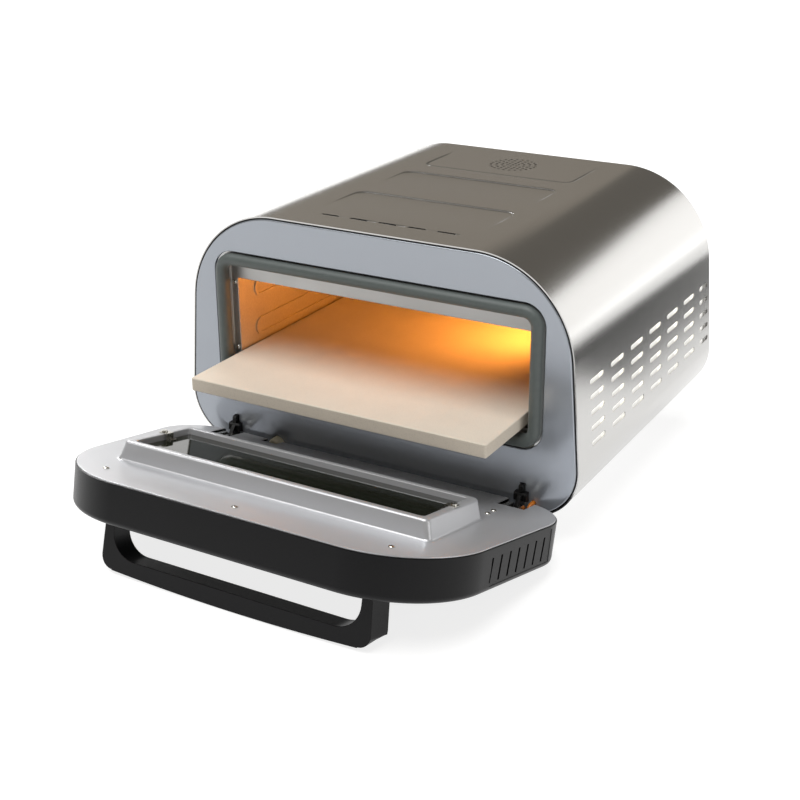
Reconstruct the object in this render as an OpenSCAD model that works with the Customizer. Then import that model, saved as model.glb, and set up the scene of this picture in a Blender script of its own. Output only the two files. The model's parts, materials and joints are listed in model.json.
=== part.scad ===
// Electric pizza maker: a countertop oven with a drop-down door, a pull-out
// baking stone and a lit cavity, drawn with its door open and its stone out.
// Millimetres. +X is the right side seen from the front, +Y the back, +Z up.
// Table height is Z 0. Body parts are drawn from the fascia's face (Y 0) and
// the underside of the shell (Z 0), then moved to the table by placed().

/* [Body] */
// Width of the body at its underside
body_w = 450; // [444:1:460]
// Height of the body without its feet
body_h = 251.8; // [250:0.2:256]
// Depth of the steel shell behind the fascia's face
body_d = 369.5; // [366:0.5:376]
// How far each side leans in for a millimetre of height
side_slope = 0.0846; // [0.08:0.0002:0.09]
// Radius of the two top corners
top_r = 101.5; // [98:0.5:104]
// Radius of the two bottom corners
low_r = 52.8; // [50:0.2:54]
// Thickness of the shell's steel sheet
sheet = 1.2; // [0.8:0.1:1.4]
// Height of the rubber feet
foot_h = 26; // [26:0.5:32]
// Thickness of the fascia
fascia_t = 3; // [2.6:0.1:3.2]
// Width of the dark trim seen between shell and fascia
trim_w = 1.6; // [1:0.1:1.8]

/* [Vents] */
// Columns of slots in each side
vent_columns = 7; // [3:1:7]
// Rows of slots in each side
vent_rows = 5; // [2:1:5]
// Length of a side slot
vent_l = 32.7; // [28:0.1:34]
// Height of a side slot
vent_t = 5; // [3:0.1:6]
// Distance between the fronts of two side slots
vent_step = 50.7; // [50:0.1:51]
// Distance between two rows of side slots
row_step = 15.2; // [14:0.1:15.4]
// Slots in the top behind the fascia
top_slots = 5; // [1:1:5]
// Distance between two top slots
top_slot_step = 32; // [30:0.5:33]
// Depth of the pressed panels in the top
press_depth = 2.5; // [1.5:0.1:3]
// Half the width of the pressed panels
press_half = 91; // [85:1:95]
// Radius of the pressed panels' two deep corners
press_corner = 14; // [8:1:20]
// Holes in the outer ring of the steam vent
vent_ring_holes = 24; // [12:6:24]
// Gap between the shell and the blanket behind the side slots
blanket_gap = 1.5; // [1:0.1:4]

/* [Mouth] */
// Half the width of the opening in the fascia
mouth_half = 182.5; // [182:0.1:183]
// Underside of the opening
mouth_low = 67.3; // [67:0.1:67.6]
// Top of the opening
mouth_top = 210.5; // [210.2:0.1:211]
// Corner radius of the opening
mouth_r = 22; // [20:0.5:24]
// Width of the door seal's section
gasket_w = 12; // [11:0.1:12.4]
// How far the seal stands in front of the fascia
gasket_out = 5.7; // [5:0.1:5.8]

/* [Cavity] */
// Half the clear width of the cavity
cavity_half = 165; // [164.5:0.1:165.5]
// Depth at which the cavity ends
cavity_end = 333; // [331:0.5:334]
// Height of the cavity's roof
roof_z = 206; // [205:0.5:208]
// Height of the cavity's floor
floor_z = 78; // [77:0.5:79]
// Diameter of the heating elements
heater_d = 6.5; // [6:0.1:7]

/* [Stone] */
// Width of the baking stone
stone_w = 325; // [318:1:326]
// Length of the baking stone
stone_l = 310; // [304:1:312]
// Thickness of the baking stone
stone_t = 13.5; // [10:0.1:13.8]
// Height of the stone's upper face above the shell's underside
stone_top = 101; // [100.5:0.1:102]
// How far the stone is pulled out
stone_out = 92.1; // [0:0.1:92.1]

/* [Door] */
// Angle of the open door from its closed place
door_open = 77; // [0:1:77]
// Half the width of the door at its hinge edge
door_half = 223.8; // [222:0.1:224.5]
// Height of the door
door_h = 252.8; // [251:0.1:254]
// How far each side of the door leans in for a millimetre of height
door_slope = 0.0857; // [0.08:0.0001:0.09]
// Radius of the door's upper corners
door_top_r = 93.3; // [90:0.1:96]
// Radius of the door's hinge-side corners
door_low_r = 50.3; // [48:0.1:52]
// Depth of the door from its liner to its front face
door_d = 40.5; // [39:0.1:41]
// Wall of the plastic door cover
cover_t = 2.5; // [2:0.1:2.8]
// Roundness of the cover's front edge
cover_r = 6; // [3:0.5:7]
// Gap between the closed door's liner and the fascia
door_gap = 6; // [5.9:0.1:6.4]

/* [Window] */
// Half the width of the raised window frame at its base
frame_half = 167; // [165:0.1:168]
// Height of the raised frame above the liner
frame_h = 18.1; // [16:0.1:18.1]
// Lower edge of the raised frame
frame_low = 85.5; // [85.5:0.1:88]
// Upper edge of the raised frame
frame_top = 186.5; // [184:0.1:186.5]
// Width of the flat rim around the glass
rim_w = 8; // [7:0.1:9]
// Thickness of each window glass
glass_t = 4; // [3:0.1:4]

/* [Handle] */
// Half the width over the handle's legs
handle_half = 148; // [140:0.5:150]
// Half the width of the opening behind the bar
grip_half = 131; // [124:0.5:133]
// How far the bar stands in front of the door at its middle
handle_out = 54.5; // [50:0.5:54.5]
// Thickness of the bar
bar_t = 16; // [13:0.5:18]
// How far the bar bows out between its legs
bar_bow = 4.5; // [0:0.5:6]
// Width of the bar along the door
bar_w = 22; // [18:0.5:24]
// Lower side of the bar from the door's hinge edge
bar_low = 204.5; // [198:0.5:206]
// Slant of the bar's outer face, which lies level over the table when the door is open
bar_slant = 13; // [12:0.5:16]

/* [Hinge] */
// Distance of each hinge from the middle
hinge_x = 165; // [165:0.1:165.4]
// Distance of the pivot in front of the fascia
pivot_out = 14.9; // [14.5:0.1:15.2]
// Height of the pivot above the shell's underside
pivot_z = 9.7; // [9.5:0.1:10]
// Diameter of the hinge pins
pin_d = 5; // [4:0.1:5.2]
// Running clearance of the pins, on the diameter
pin_play = 0.08; // [0.04:0.01:0.16]
// Thickness of the hinge arms
arm_t = 4; // [3:0.1:4.4]

/* [Switch] */
// Diameter of the door switch's plunger
plunger_d = 15; // [12:0.1:15.4]
// How far the plunger stands in front of the fascia
plunger_out = 8; // [6:0.1:8.4]
// Sideways place of the plunger
plunger_x = -114; // [-118:1:-110]

/* [Hidden] */
$fn = 48;

body_half = body_w / 2;
side_angle = atan(side_slope);
shell_front = 1;
fascia_inset = sheet + trim_w;
pivot_y = -pivot_out;
ledge_y = 6;
flange_y = 14;
cavity_y = flange_y + 1.3;
stone_low = stone_top - stone_t;
stone_y = 17.6 - stone_out;
liner_t = 1;
liner_inset = 1.3;
plunger_z = 11;
lead_x = 176;
lead_z = 14.5;
foot_x = 148;
foot_front = 48;
foot_back = body_d - 45;
vent_centre = body_d - 60.5;
vent_r = 28;
window_half = frame_half - 5.3 - rim_w;
window_low = frame_low + 1.2 + rim_w;
window_top = frame_top - 2 - rim_w;
glass_z = 8.5;
strip_low = 22;
strip_top = 60;
gland_x = -150;
gland_z = 40;
gland_out = 8.5;
bar_top = bar_low + bar_w;

// Where the open door's tip and the gland end, so that Y 0 halves the whole depth
tip_y = pivot_y - (door_d - cover_r + door_gap - pivot_out) * cos(door_open)
    - (door_h - cover_r - pivot_z) * sin(door_open) - cover_r;
y_mid = (tip_y + body_d + gland_out) / 2;

steel = [0.66, 0.65, 0.63];
bright = [0.82, 0.82, 0.80];
blue_grey = [0.60, 0.63, 0.68];
silver_paint = [0.70, 0.71, 0.72];
black = [0.05, 0.05, 0.055];
rubber_grey = [0.30, 0.32, 0.32];
stone_beige = [0.82, 0.75, 0.64];
wool = [0.84, 0.80, 0.70];
board_green = [0.10, 0.32, 0.18];

// Moves a body part from the fascia and shell underside to the table
module placed() {
    translate([0, -y_mid, foot_h]) children();
}

// Places a door part, drawn closed: Y is the depth into the oven from the
// liner's face and Z the distance from the hinge edge
module on_door() {
    placed()
        translate([0, pivot_y, pivot_z]) rotate([door_open, 0, 0])
            translate([0, -door_gap - pivot_y, -pivot_z]) children();
}

// Draws its children on both sides
module both_sides() {
    children();
    mirror([1, 0, 0]) children();
}

// Extrudes an X-Z outline from y0 to y1
module along_y(y0, y1) {
    translate([0, y1, 0]) rotate([90, 0, 0]) linear_extrude(y1 - y0) children();
}

// Extrudes a Y-Z outline from x0 to x1
module along_x(x0, x1) {
    translate([x0, 0, 0]) rotate([90, 0, 90]) linear_extrude(x1 - x0) children();
}

// Block given by its six faces
module block(x0, x1, y0, y1, z0, z1) {
    translate([x0, y0, z0]) cube([x1 - x0, y1 - y0, z1 - z0]);
}

module rod_x(y, z, x0, x1, d) {
    translate([x0, y, z]) rotate([0, 90, 0]) cylinder(d = d, h = x1 - x0);
}

module rod_y(x, z, y0, y1, d) {
    translate([x, y1, z]) rotate([90, 0, 0]) cylinder(d = d, h = y1 - y0);
}

module rod_z(x, y, z0, z1, d) {
    translate([x, y, z0]) cylinder(d = d, h = z1 - z0);
}

// Points of an arc about (cx, cy)
function arc(cx, cy, r, a0, a1, steps = 14) = [
    for (i = [0:steps])
        let (a = a0 + (a1 - a0) * i / steps) [cx + r * cos(a), cy + r * sin(a)]
];

// Half an outline mirrored to a whole one
function mirrored(points) = concat(
    points,
    [for (i = [len(points) - 1:-1:0]) [-points[i][0], points[i][1]]]
);

// Rounded box outline that narrows upwards: half width at its foot, height,
// lean, lower and upper corner radius, and how far it is drawn inside itself
function leaning_outline(half, high, lean, r_low, r_top, inset) =
    let (
        t = atan(lean),
        x_low = half - lean * r_low - r_low / cos(t),
        x_top = half - lean * (high - r_top) - r_top / cos(t)
    )
    mirrored(concat(
        arc(x_low, r_low, r_low - inset, -90, t),
        arc(x_top, high - r_top, r_top - inset, t, 90)
    ));

module body_outline(inset) {
    polygon(leaning_outline(body_half, body_h, side_slope, low_r, top_r, inset));
}

module door_outline(inset) {
    polygon(leaning_outline(door_half, door_h, door_slope, door_low_r, door_top_r, inset));
}

// Rectangle from z0 to z1 with true round corners
module round_rect(half, z0, z1, r) {
    translate([-half, z0 + r]) square([2 * half, z1 - z0 - 2 * r]);
    translate([-half + r, z0]) square([2 * half - 2 * r, z1 - z0]);
    for (x = [-half + r, half - r], z = [z0 + r, z1 - r])
        translate([x, z]) circle(r);
}

// Pan-head screw pointing along +Y: head in front of y, shank behind it
module screw_y(x, z, y, head_d, shank_d, shank_l) {
    rod_y(x, z, y - 1.5, y, head_d);
    rod_y(x, z, y - 0.2, y + shank_l, shank_d);
}

// Pan-head screw pointing up: head under z, shank above it
module screw_up(x, y, z, head_d, shank_d, shank_l) {
    rod_z(x, y, z - 2, z, head_d);
    rod_z(x, y, z - 0.2, z + shank_l, shank_d);
}

// Shallow pressed wedge of the top: the deep edge is a step, the other runs out
// A pressed panel from its thin end at Y 0 to its deep end, whose corners are round
module press(long, half, depth, drop, grow) {
    r = press_corner + grow;
    w = half + grow;
    intersection() {
        along_x(-w, w)
            polygon([
                [long + grow, body_h + 1 - drop], [0, body_h + 1 - drop],
                [0, body_h - drop], [long + grow, body_h - depth - drop]
            ]);
        translate([0, 0, body_h - depth - drop - 1]) linear_extrude(depth + 4) {
            for (x = [r - w, w - r]) translate([x, long + grow - r]) circle(r);
            translate([r - w, 0]) square([2 * (w - r), long + grow]);
            translate([-w, -1]) square([2 * w, long + grow - r + 1]);
        }
    }
}

// The three pressed panels: rear-deep, rear-deep and front-deep
module presses(drop, grow) {
    translate([0, 62]) press(70.5, press_half, press_depth, drop, grow);
    translate([0, 162]) press(69.4, press_half, press_depth, drop, grow);
    translate([0, 350]) mirror([0, 1, 0]) press(88.5, press_half - 2, press_depth, drop, grow);
}

module outer_shell() {
    color(steel) placed() difference() {
        union() {
            along_y(shell_front, body_d) difference() {
                body_outline(0);
                body_outline(sheet);
            }
            intersection() {
                presses(sheet, sheet);
                along_y(shell_front, body_d) body_outline(0.2);
            }
        }
        presses(0, 0);
        block(-130, 130, shell_front - 1, body_d + 1, -1, sheet + 2);
        for (row = [0:vent_rows - 1], column = [0:vent_columns - 1])
            side_slot(132 - row * row_step, 32.9 + column * vent_step);
        for (i = [0:top_slots - 1])
            top_slot((i - (top_slots - 1) / 2) * top_slot_step);
        for (ring = [0:4], i = [0:max(1, ring * vent_ring_holes / 4) - 1])
            rotate_hole(ring, i);
        for (x = [-foot_x, foot_x], y = [foot_front, foot_back])
            rod_z(x, y, -1, 3, 4.4);
        for (x = [-140, 140], y = [120, 240])
            rod_z(x, y, -1, 3, 3.4);
    }
}

// One slot through both sides; the last column stops short of the back edge
module side_slot(z, y) {
    long = min(vent_l, body_d - 6 - y);
    for (side = [-1, 1])
        block(side * 215 - 20, side * 215 + 20, y, y + long, z - vent_t / 2, z + vent_t / 2);
}

module top_slot(x) {
    block(x - 11.5, x + 11.5, 34, 38, body_h - 4, body_h + 1);
}

// Hole number i of one ring of the steam vent
module rotate_hole(ring, i) {
    a = ring == 0 ? 0 : i * 360 / (ring * vent_ring_holes / 4);
    r = ring * 6.2;
    rod_z(r * sin(a), vent_centre + r * cos(a), body_h - 8, body_h + 1, 3);
}

module fascia() {
    color(blue_grey) placed() difference() {
        along_y(0, fascia_t) difference() {
            body_outline(fascia_inset);
            round_rect(mouth_half, mouth_low, mouth_top, mouth_r);
        }
        both_sides() block(hinge_x - 3, hinge_x + 3, -1, fascia_t + 1, 4.5, 33);
        rod_y(plunger_x, plunger_z, -1, fascia_t + 1, plunger_d + 2);
        rod_y(lead_x, lead_z, -1, fascia_t + 1, 6);
    }
}

module fascia_trim() {
    color(black) placed() along_y(shell_front, 5) difference() {
        body_outline(sheet + 0.02);
        body_outline(fascia_inset - 0.02);
    }
}

// Steel throat of the mouth: a ledge under the seal, a step back and a lip
module mouth_frame() {
    color(bright) placed() difference() {
        union() {
            along_y(ledge_y + 0.05, ledge_y + 1.2) difference() {
                round_rect(mouth_half - 1, mouth_low + 1, mouth_top - 1, mouth_r - 1);
                throat(0);
            }
            along_y(ledge_y + 0.05, flange_y + 1.2) difference() {
                throat(1.2);
                throat(0);
            }
            along_y(flange_y, flange_y + 1.2) difference() {
                throat(1.2);
                translate([-cavity_half, floor_z + 4])
                    square([2 * cavity_half, 178.7 - floor_z - 4]);
            }
        }
        both_sides() for (z = [103, 174]) rod_y(cavity_half + 4, z, 10, 20, 3.2);
    }
}

module throat(grow) {
    round_rect(173 + grow, floor_z - 1 - grow, 200.5 + grow, 12 + grow);
}

module mouth_screws() {
    color(bright) placed() both_sides()
        for (z = [103, 174]) screw_y(cavity_half + 4, z, flange_y, 5, 3, 6);
}

// D section of the seal: X across the section, Y towards the front
module gasket_section() {
    flat = ledge_y + gasket_out - gasket_w / 2;
    translate([-gasket_w / 2, 0]) square([gasket_w, flat]);
    intersection() {
        translate([0, flat]) circle(gasket_w / 2);
        translate([-gasket_w / 2, 0]) square([gasket_w, flat + gasket_w]);
    }
}

// The seal runs round the mouth: four straight lengths and four bends
module door_gasket() {
    inset = 2 + gasket_w / 2;
    half = mouth_half - inset;
    z0 = mouth_low + inset;
    z1 = mouth_top - inset;
    r = mouth_r - inset;
    color(rubber_grey) placed() {
        for (z = [z0, z1])
            along_x(-half + r, half - r) translate([ledge_y, z]) rotate(90) gasket_section();
        for (x = [-half, half])
            translate([x, ledge_y, z0 + r]) linear_extrude(z1 - z0 - 2 * r)
                rotate(180) gasket_section();
        for (x = [-1, 1], z = [-1, 1])
            translate([x * (half - r), ledge_y, (z0 + z1) / 2 + z * ((z1 - z0) / 2 - r)])
                rotate([90, 0, 0])
                    rotate_extrude(angle = 90, start = x > 0 ? (z > 0 ? 0 : 270) : (z > 0 ? 90 : 180))
                        translate([r, 0]) gasket_section();
    }
}

// Closed loop pressed into a cavity wall as a rib, from y0 to y1
module wall_rib(y0, y1, z0, z1) {
    along_x(0, 1.5) difference() {
        stadium(y0, y1, z0, z1);
        stadium(y0 + 2.6, y1 - 2.6, z0 + 2.6, z1 - 2.6);
    }
}

module stadium(y0, y1, z0, z1) {
    r = (z1 - z0) / 2;
    translate([y0 + r, z0]) square([y1 - y0 - 2 * r, 2 * r]);
    for (y = [y0 + r, y1 - r]) translate([y, z0 + r]) circle(r);
}

// Side wall of the cavity at +X with a front flange and two pressed loops
module cavity_wall() {
    difference() {
        union() {
            block(cavity_half, cavity_half + 1.2, cavity_y, cavity_end - 0.1, floor_z, roof_z);
            block(cavity_half, cavity_half + 8.2, cavity_y, cavity_y + 1.2, floor_z + 2, 199);
            translate([cavity_half - 1.4, 0, 0]) {
                wall_rib(41, 290, 107, 126);
                wall_rib(41, 290, 149.5, 168.5);
            }
        }
        for (z = [103, 174]) rod_y(cavity_half + 4, z, 10, 20, 3.2);
    }
}

module cavity_left_wall() {
    color(steel) placed() mirror([1, 0, 0]) cavity_wall();
}

module cavity_right_wall() {
    color(steel) placed() difference() {
        cavity_wall();
        rod_x(310, 185, cavity_half - 3, cavity_half + 3, 30);
    }
}

module cavity_roof() {
    color(steel) placed() difference() {
        block(-cavity_half - 1.2, cavity_half + 1.2, cavity_y, cavity_end - 0.1, roof_z + 0.05, roof_z + 1.2);
        rod_z(0, vent_centre, roof_z - 1, roof_z + 3, 40);
    }
}

module cavity_floor() {
    color(steel) placed()
        block(-cavity_half - 1.2, cavity_half + 1.2, cavity_y, cavity_end - 0.1, floor_z - 1.2, floor_z - 0.05);
}

module cavity_back() {
    color(steel) placed() difference() {
        block(-cavity_half - 1.2, cavity_half + 1.2, cavity_end, cavity_end + 1.2, floor_z - 1.2, roof_z + 1.2);
        for (x = [-110, 110], z = [upper_z, lower_z])
            rod_y(x, z, cavity_end - 1, cavity_end + 3, heater_d + 0.6);
        rod_y(60, 150, cavity_end - 1, cavity_end + 3, 4.6);
    }
}

module stone_rail() {
    block(cavity_half - 13, cavity_half - 0.1, 20, cavity_end - 4, stone_low - 1.5, stone_low - 0.3);
    block(cavity_half - 1.3, cavity_half - 0.1, 20, cavity_end - 4, floor_z + 0.1, stone_low - 1.4);
    block(cavity_half - 13, cavity_half - 11.8, 20, cavity_end - 4, floor_z + 4, stone_low - 1.4);
}

module stone_rail_left() {
    color(bright) placed() mirror([1, 0, 0]) stone_rail();
}

module stone_rail_right() {
    color(bright) placed() stone_rail();
}

upper_z = roof_z - 10;
lower_z = floor_z + 4.3;

// Tube heater of four legs joined by three bends, its ends going out at the back;
// the bends are a touch thicker, as a tube is where it is bent
module heater(z) {
    leg = 110;
    bend_r = leg / 3;
    front = 40 + bend_r;
    back = cavity_end - 18 - bend_r;
    for (side = [-1, 1]) {
        rod_y(side * leg, z, front - 0.5, cavity_end + 14, heater_d);
        rod_y(side * leg / 3, z, front - 0.5, back + 0.5, heater_d);
        translate([side * leg * 2 / 3, front, z])
            rotate_extrude(angle = 180, start = 180) translate([bend_r, 0]) circle(d = heater_d + 0.2);
    }
    translate([0, back, z])
        rotate_extrude(angle = 180) translate([bend_r, 0]) circle(d = heater_d + 0.2);
}

module upper_heater() {
    color(rubber_grey) placed() heater(upper_z);
}

module lower_heater() {
    color(rubber_grey) placed() heater(lower_z);
}

// Straps that hold the elements off the roof and the floor
module heater_holders() {
    color(bright) placed() for (x = [-110, -110 / 3, 110 / 3, 110], y = [110, 230]) {
        difference() {
            block(x - 5, x + 5, y, y + 3, upper_z - 5, roof_z - 0.05);
            rod_y(x, upper_z, y - 1, y + 4, heater_d + 0.3);
        }
        difference() {
            block(x - 5, x + 5, y, y + 3, floor_z + 0.05, lower_z + 4.6);
            rod_y(x, lower_z, y - 1, y + 4, heater_d + 0.3);
        }
    }
}

// Lamp holder outside the right wall, behind its lens
module oven_lamp() {
    color(bright) placed() difference() {
        union() {
            rod_x(310, 185, cavity_half + 1.3, cavity_half + 4, 40);
            rod_x(310, 185, cavity_half + 1.3, cavity_half + 26, 26);
        }
        rod_x(310, 185, cavity_half, cavity_half + 20, 22);
    }
}

module lamp_lens() {
    color([0.95, 0.90, 0.75]) placed() {
        rod_x(310, 185, cavity_half - 2, cavity_half + 1.2, 29.6);
    }
}

module temperature_probe() {
    color(bright) placed() {
        rod_y(60, 150, cavity_end - 40, cavity_end + 14, 4);
        difference() {
            rod_y(60, 150, cavity_end + 1.3, cavity_end + 7, 11);
            rod_y(60, 150, cavity_end, cavity_end + 8, 3.9);
        }
    }
}

// Snap-disc cut-out that stops the heaters when the cavity overheats
module thermal_cutout() {
    color(black) placed() {
        rod_y(-60, 150, cavity_end + 1.3, cavity_end + 9, 16);
        for (x = [-66, -54]) block(x - 0.4, x + 0.4, cavity_end + 8, cavity_end + 17, 147, 153);
    }
}

// Steam pipe from the cavity's roof to the holes in the top
module vent_duct() {
    color(bright) placed() difference() {
        union() {
            rod_z(0, vent_centre, roof_z + 1.3, body_h - 6, 58);
            rod_z(0, vent_centre, roof_z + 1.3, roof_z + 2.3, 70);
        }
        rod_z(0, vent_centre, roof_z, body_h - 5, 56);
    }
}

// Blanket that fills one side between the cavity and the shell, with a channel
// for air behind the rear end of each column of slots
module side_blanket() {
    difference() {
        intersection() {
            along_y(20, body_d - 15.5) body_outline(sheet + blanket_gap);
            block(cavity_half + 1.5, body_half, 20, body_d, 62, 200);
        }
        for (column = [0:vent_columns - 1])
            translate([cavity_half + 20, 32.9 + column * vent_step + vent_l - 5, 60])
                cube([60, 11, 145]);
    }
}

module insulation_left() {
    color(wool) placed() mirror([1, 0, 0]) side_blanket();
}

module insulation_right() {
    color(wool) placed() difference() {
        side_blanket();
        rod_x(310, 185, cavity_half, body_half, 42);
        block(cavity_half, body_half, 289, 335, 185, 205);
    }
}

module insulation_top() {
    color(wool) placed() difference() {
        block(-cavity_half + 3, cavity_half - 3, 20, cavity_end - 3, roof_z + 1.5, roof_z + 16);
        rod_z(0, vent_centre, roof_z, roof_z + 20, 71);
    }
}

module insulation_back() {
    color(wool) placed() difference() {
        block(-cavity_half + 3, cavity_half - 3, cavity_end + 1.5, cavity_end + 12, floor_z, roof_z);
        for (x = [-110, 110], z = [upper_z, lower_z])
            rod_y(x, z, cavity_end, cavity_end + 15, heater_d + 4);
        rod_y(60, 150, cavity_end, cavity_end + 15, 13);
        rod_y(-60, 150, cavity_end, cavity_end + 15, 19);
    }
}

module insulation_bottom() {
    color(wool) placed()
        block(-cavity_half + 3, cavity_half - 3, 20, cavity_end - 3, floor_z - 15, floor_z - 1.5);
}

// Supply board with its relay, transformer and capacitor
module power_board() {
    color(board_green) placed() difference() {
        union() {
            block(-70, 50, 220, 310, 12.6, 14.2);
            block(-60, -32, 235, 263, 14, 34);
            block(-20, 6, 232, 248, 14, 31);
            block(14, 40, 232, 248, 14, 31);
            rod_z(-45, 288, 14, 36, 16);
        }
        for (x = [-64, 44], y = [226, 304]) rod_z(x, y, 10, 16, 3.4);
    }
}

module board_pillars() {
    color(bright) placed() for (x = [-64, 44], y = [226, 304]) {
        rod_z(x, y, 2.6, 12.5, 7);
        rod_z(x, y, 12.3, 16.5, 3);
    }
}

module terminal_block() {
    color([0.88, 0.87, 0.82]) placed() difference() {
        block(-135, -95, 300, 318, 2.6, 20);
        for (x = [-128, -115, -102]) rod_y(x, 12, 299, 319, 4);
    }
}

// Floor pan inside the shell's two bottom flanges, with cooling slots
module bottom_plate() {
    color(steel) placed() difference() {
        block(-166, 166, 8, body_d - 6, sheet + 0.1, 2.5);
        for (x = [-90:30:90], y = [70, 130]) block(x - 3, x + 3, y, y + 40, 0, 4);
        for (x = [-foot_x, foot_x], y = [foot_front, foot_back]) rod_z(x, y, 0, 4, 4.4);
        for (x = [-140, 140], y = [120, 240]) rod_z(x, y, 0, 4, 3.4);
    }
}

// Back sheet set into the shell, with cooling slots and a hole for the gland
module back_panel() {
    color(steel) placed() difference() {
        union() {
            along_y(body_d - 4, body_d - 2.8) body_outline(sheet + 0.1);
            along_y(body_d - 14, body_d - 3) difference() {
                body_outline(sheet + 0.1);
                body_outline(sheet + 1.2);
            }
        }
        block(-170, 170, body_d - 20, body_d - 4, -1, 3);
        for (row = [0:4], column = [-3:3])
            block(column * 38 - 13, column * 38 + 13, body_d - 5, body_d, 92 + row * 20, 96 + row * 20);
        rod_y(gland_x, gland_z, body_d - 5, body_d, 16.4);
        for (p = back_screw_places) rod_y(p[0], p[1], body_d - 5, body_d, 3.4);
    }
}

back_screw_places = [
    [-195, 55], [195, 55], [-185, 150], [185, 150],
    [-90, 238], [90, 238], [-110, 14], [110, 14]
];

module back_screws() {
    color(bright) placed() for (p = back_screw_places) {
        rod_y(p[0], p[1], body_d - 2.8, body_d - 1, 6.5);
        rod_y(p[0], p[1], body_d - 9, body_d - 2.7, 3);
    }
}

module bottom_screws() {
    color(bright) placed() for (x = [-140, 140], y = [120, 240])
        screw_up(x, y, 0, 6.5, 3, 6);
}

// Gland that the supply cord would pass through
module cord_gland() {
    color(black) placed() difference() {
        union() {
            rod_y(gland_x, gland_z, body_d - 2.75, body_d + 1.5, 24);
            rod_y(gland_x, gland_z, body_d, body_d + gland_out, 18);
            rod_y(gland_x, gland_z, body_d - 14, body_d - 2, 16);
            rod_y(gland_x, gland_z, body_d - 9, body_d - 4.1, 22);
        }
        rod_y(gland_x, gland_z, body_d - 20, body_d + 20, 8.4);
    }
}

module feet() {
    color(black) placed() for (x = [-foot_x, foot_x], y = [foot_front, foot_back]) {
        translate([x, y, -foot_h]) difference() {
            rotate_extrude()
                polygon([
                    [0, 0], [13, 0], [14, 1], [16.5, foot_h - 3], [16.5, foot_h - 0.05], [0, foot_h - 0.05]
                ]);
            translate([0, 0, -1]) cylinder(d = 11, h = foot_h - 7);
            translate([0, 0, -1]) cylinder(d = 4.4, h = foot_h + 2);
        }
    }
}

module foot_screws() {
    color(bright) placed() for (x = [-foot_x, foot_x], y = [foot_front, foot_back]) {
        rod_z(x, y, -11, -8, 8);
        rod_z(x, y, -8.1, 8, 4);
        difference() {
            translate([x, y, 2.6]) cylinder(d = 8, h = 3.2, $fn = 6);
            rod_z(x, y, 2, 9, 3.9);
        }
    }
}

// Hinge arm at +X: a flat plate that reaches out of the fascia to the pivot
module hinge_arm() {
    difference() {
        union() {
            along_x(hinge_x - arm_t / 2, hinge_x + arm_t / 2)
                polygon([
                    [pivot_y - 1, pivot_z - 6.5], [-2, 5.2], [34, 5.2], [34, 36], [6, 36],
                    [fascia_t + 0.5, 32.4], [-4, 32.4], [-5.2, 31.2], [-5.2, 24],
                    [-8, 21.5], [pivot_y + 2, pivot_z + 6.2]
                ]);
            rod_x(pivot_y, pivot_z, hinge_x - arm_t / 2, hinge_x + arm_t / 2, 13);
            along_x(hinge_x - 6.5, hinge_x + 6.5)
                polygon([[-6.4, 17], [-0.1, 15], [-0.1, 25], [-5, 25], [-6.4, 23.6]]);
        }
        rod_x(pivot_y, pivot_z, hinge_x - 9, hinge_x + 9, pin_d + pin_play);
        for (y = [14, 27]) rod_x(y, 24, hinge_x - 9, hinge_x + 9, 5.1);
    }
}

module hinge_arm_left() {
    color(black) placed() mirror([1, 0, 0]) hinge_arm();
}

module hinge_arm_right() {
    color(black) placed() hinge_arm();
}

// Angle behind the fascia that carries each hinge arm
module hinge_brackets() {
    color(steel) placed() both_sides() difference() {
        union() {
            block(hinge_x - 18, hinge_x - arm_t / 2 - 0.1, fascia_t + 0.1, fascia_t + 2, 4, 44);
            block(hinge_x - arm_t / 2 - 2.1, hinge_x - arm_t / 2 - 0.1, fascia_t + 0.1, 36, 4, 44);
        }
        for (y = [14, 27]) rod_x(y, 24, hinge_x - 9, hinge_x + 9, 5.1);
    }
}

module hinge_rivets() {
    color(bright) placed() both_sides() for (y = [14, 27]) {
        rod_x(y, 24, hinge_x - arm_t / 2 - 2.1, hinge_x + arm_t / 2, 5);
        rod_x(y, 24, hinge_x - arm_t / 2 - 4, hinge_x - arm_t / 2 - 2.1, 8);
        rod_x(y, 24, hinge_x + arm_t / 2, hinge_x + arm_t / 2 + 1.6, 8);
    }
}

module hinge_pins() {
    color(bright) placed() both_sides() {
        rod_x(pivot_y, pivot_z, hinge_x - 8.4, hinge_x + 8.4, pin_d);
        rod_x(pivot_y, pivot_z, hinge_x - 9.8, hinge_x - 8.3, pin_d + 3);
    }
}

// Short loop of sleeved lead from the body into the notch beside the right hinge
module door_lead() {
    bend = 6;
    color([0.85, 0.55, 0.12]) placed() {
        rod_y(lead_x, lead_z, -4, 14, 4.5);
        translate([lead_x, -4, lead_z - bend]) rotate([0, -90, 0])
            rotate_extrude(angle = 90, start = 270) translate([bend, 0]) circle(d = 4.5);
        rod_z(lead_x, -4 - bend, lead_z - bend - 3.5, lead_z - bend, 4.5);
    }
}

// Block behind the fascia that guides the plunger and holds the door switch
module switch_housing() {
    color(black) placed() difference() {
        block(plunger_x - 13, plunger_x + 13, fascia_t + 0.1, 34, 2.9, 26);
        rod_y(plunger_x, plunger_z, fascia_t - 1, 25, plunger_d + 0.12);
    }
}

module door_switch_plunger() {
    dome = 3;
    color([0.93, 0.91, 0.84]) placed() {
        rod_y(plunger_x, plunger_z, dome - plunger_out, 16, plunger_d);
        translate([plunger_x, dome - plunger_out, plunger_z]) rotate([90, 0, 0])
            rotate_extrude() {
                square([plunger_d / 2 - dome, dome]);
                translate([plunger_d / 2 - dome, 0]) intersection() {
                    circle(dome);
                    square(dome);
                }
            }
    }
}

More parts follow.
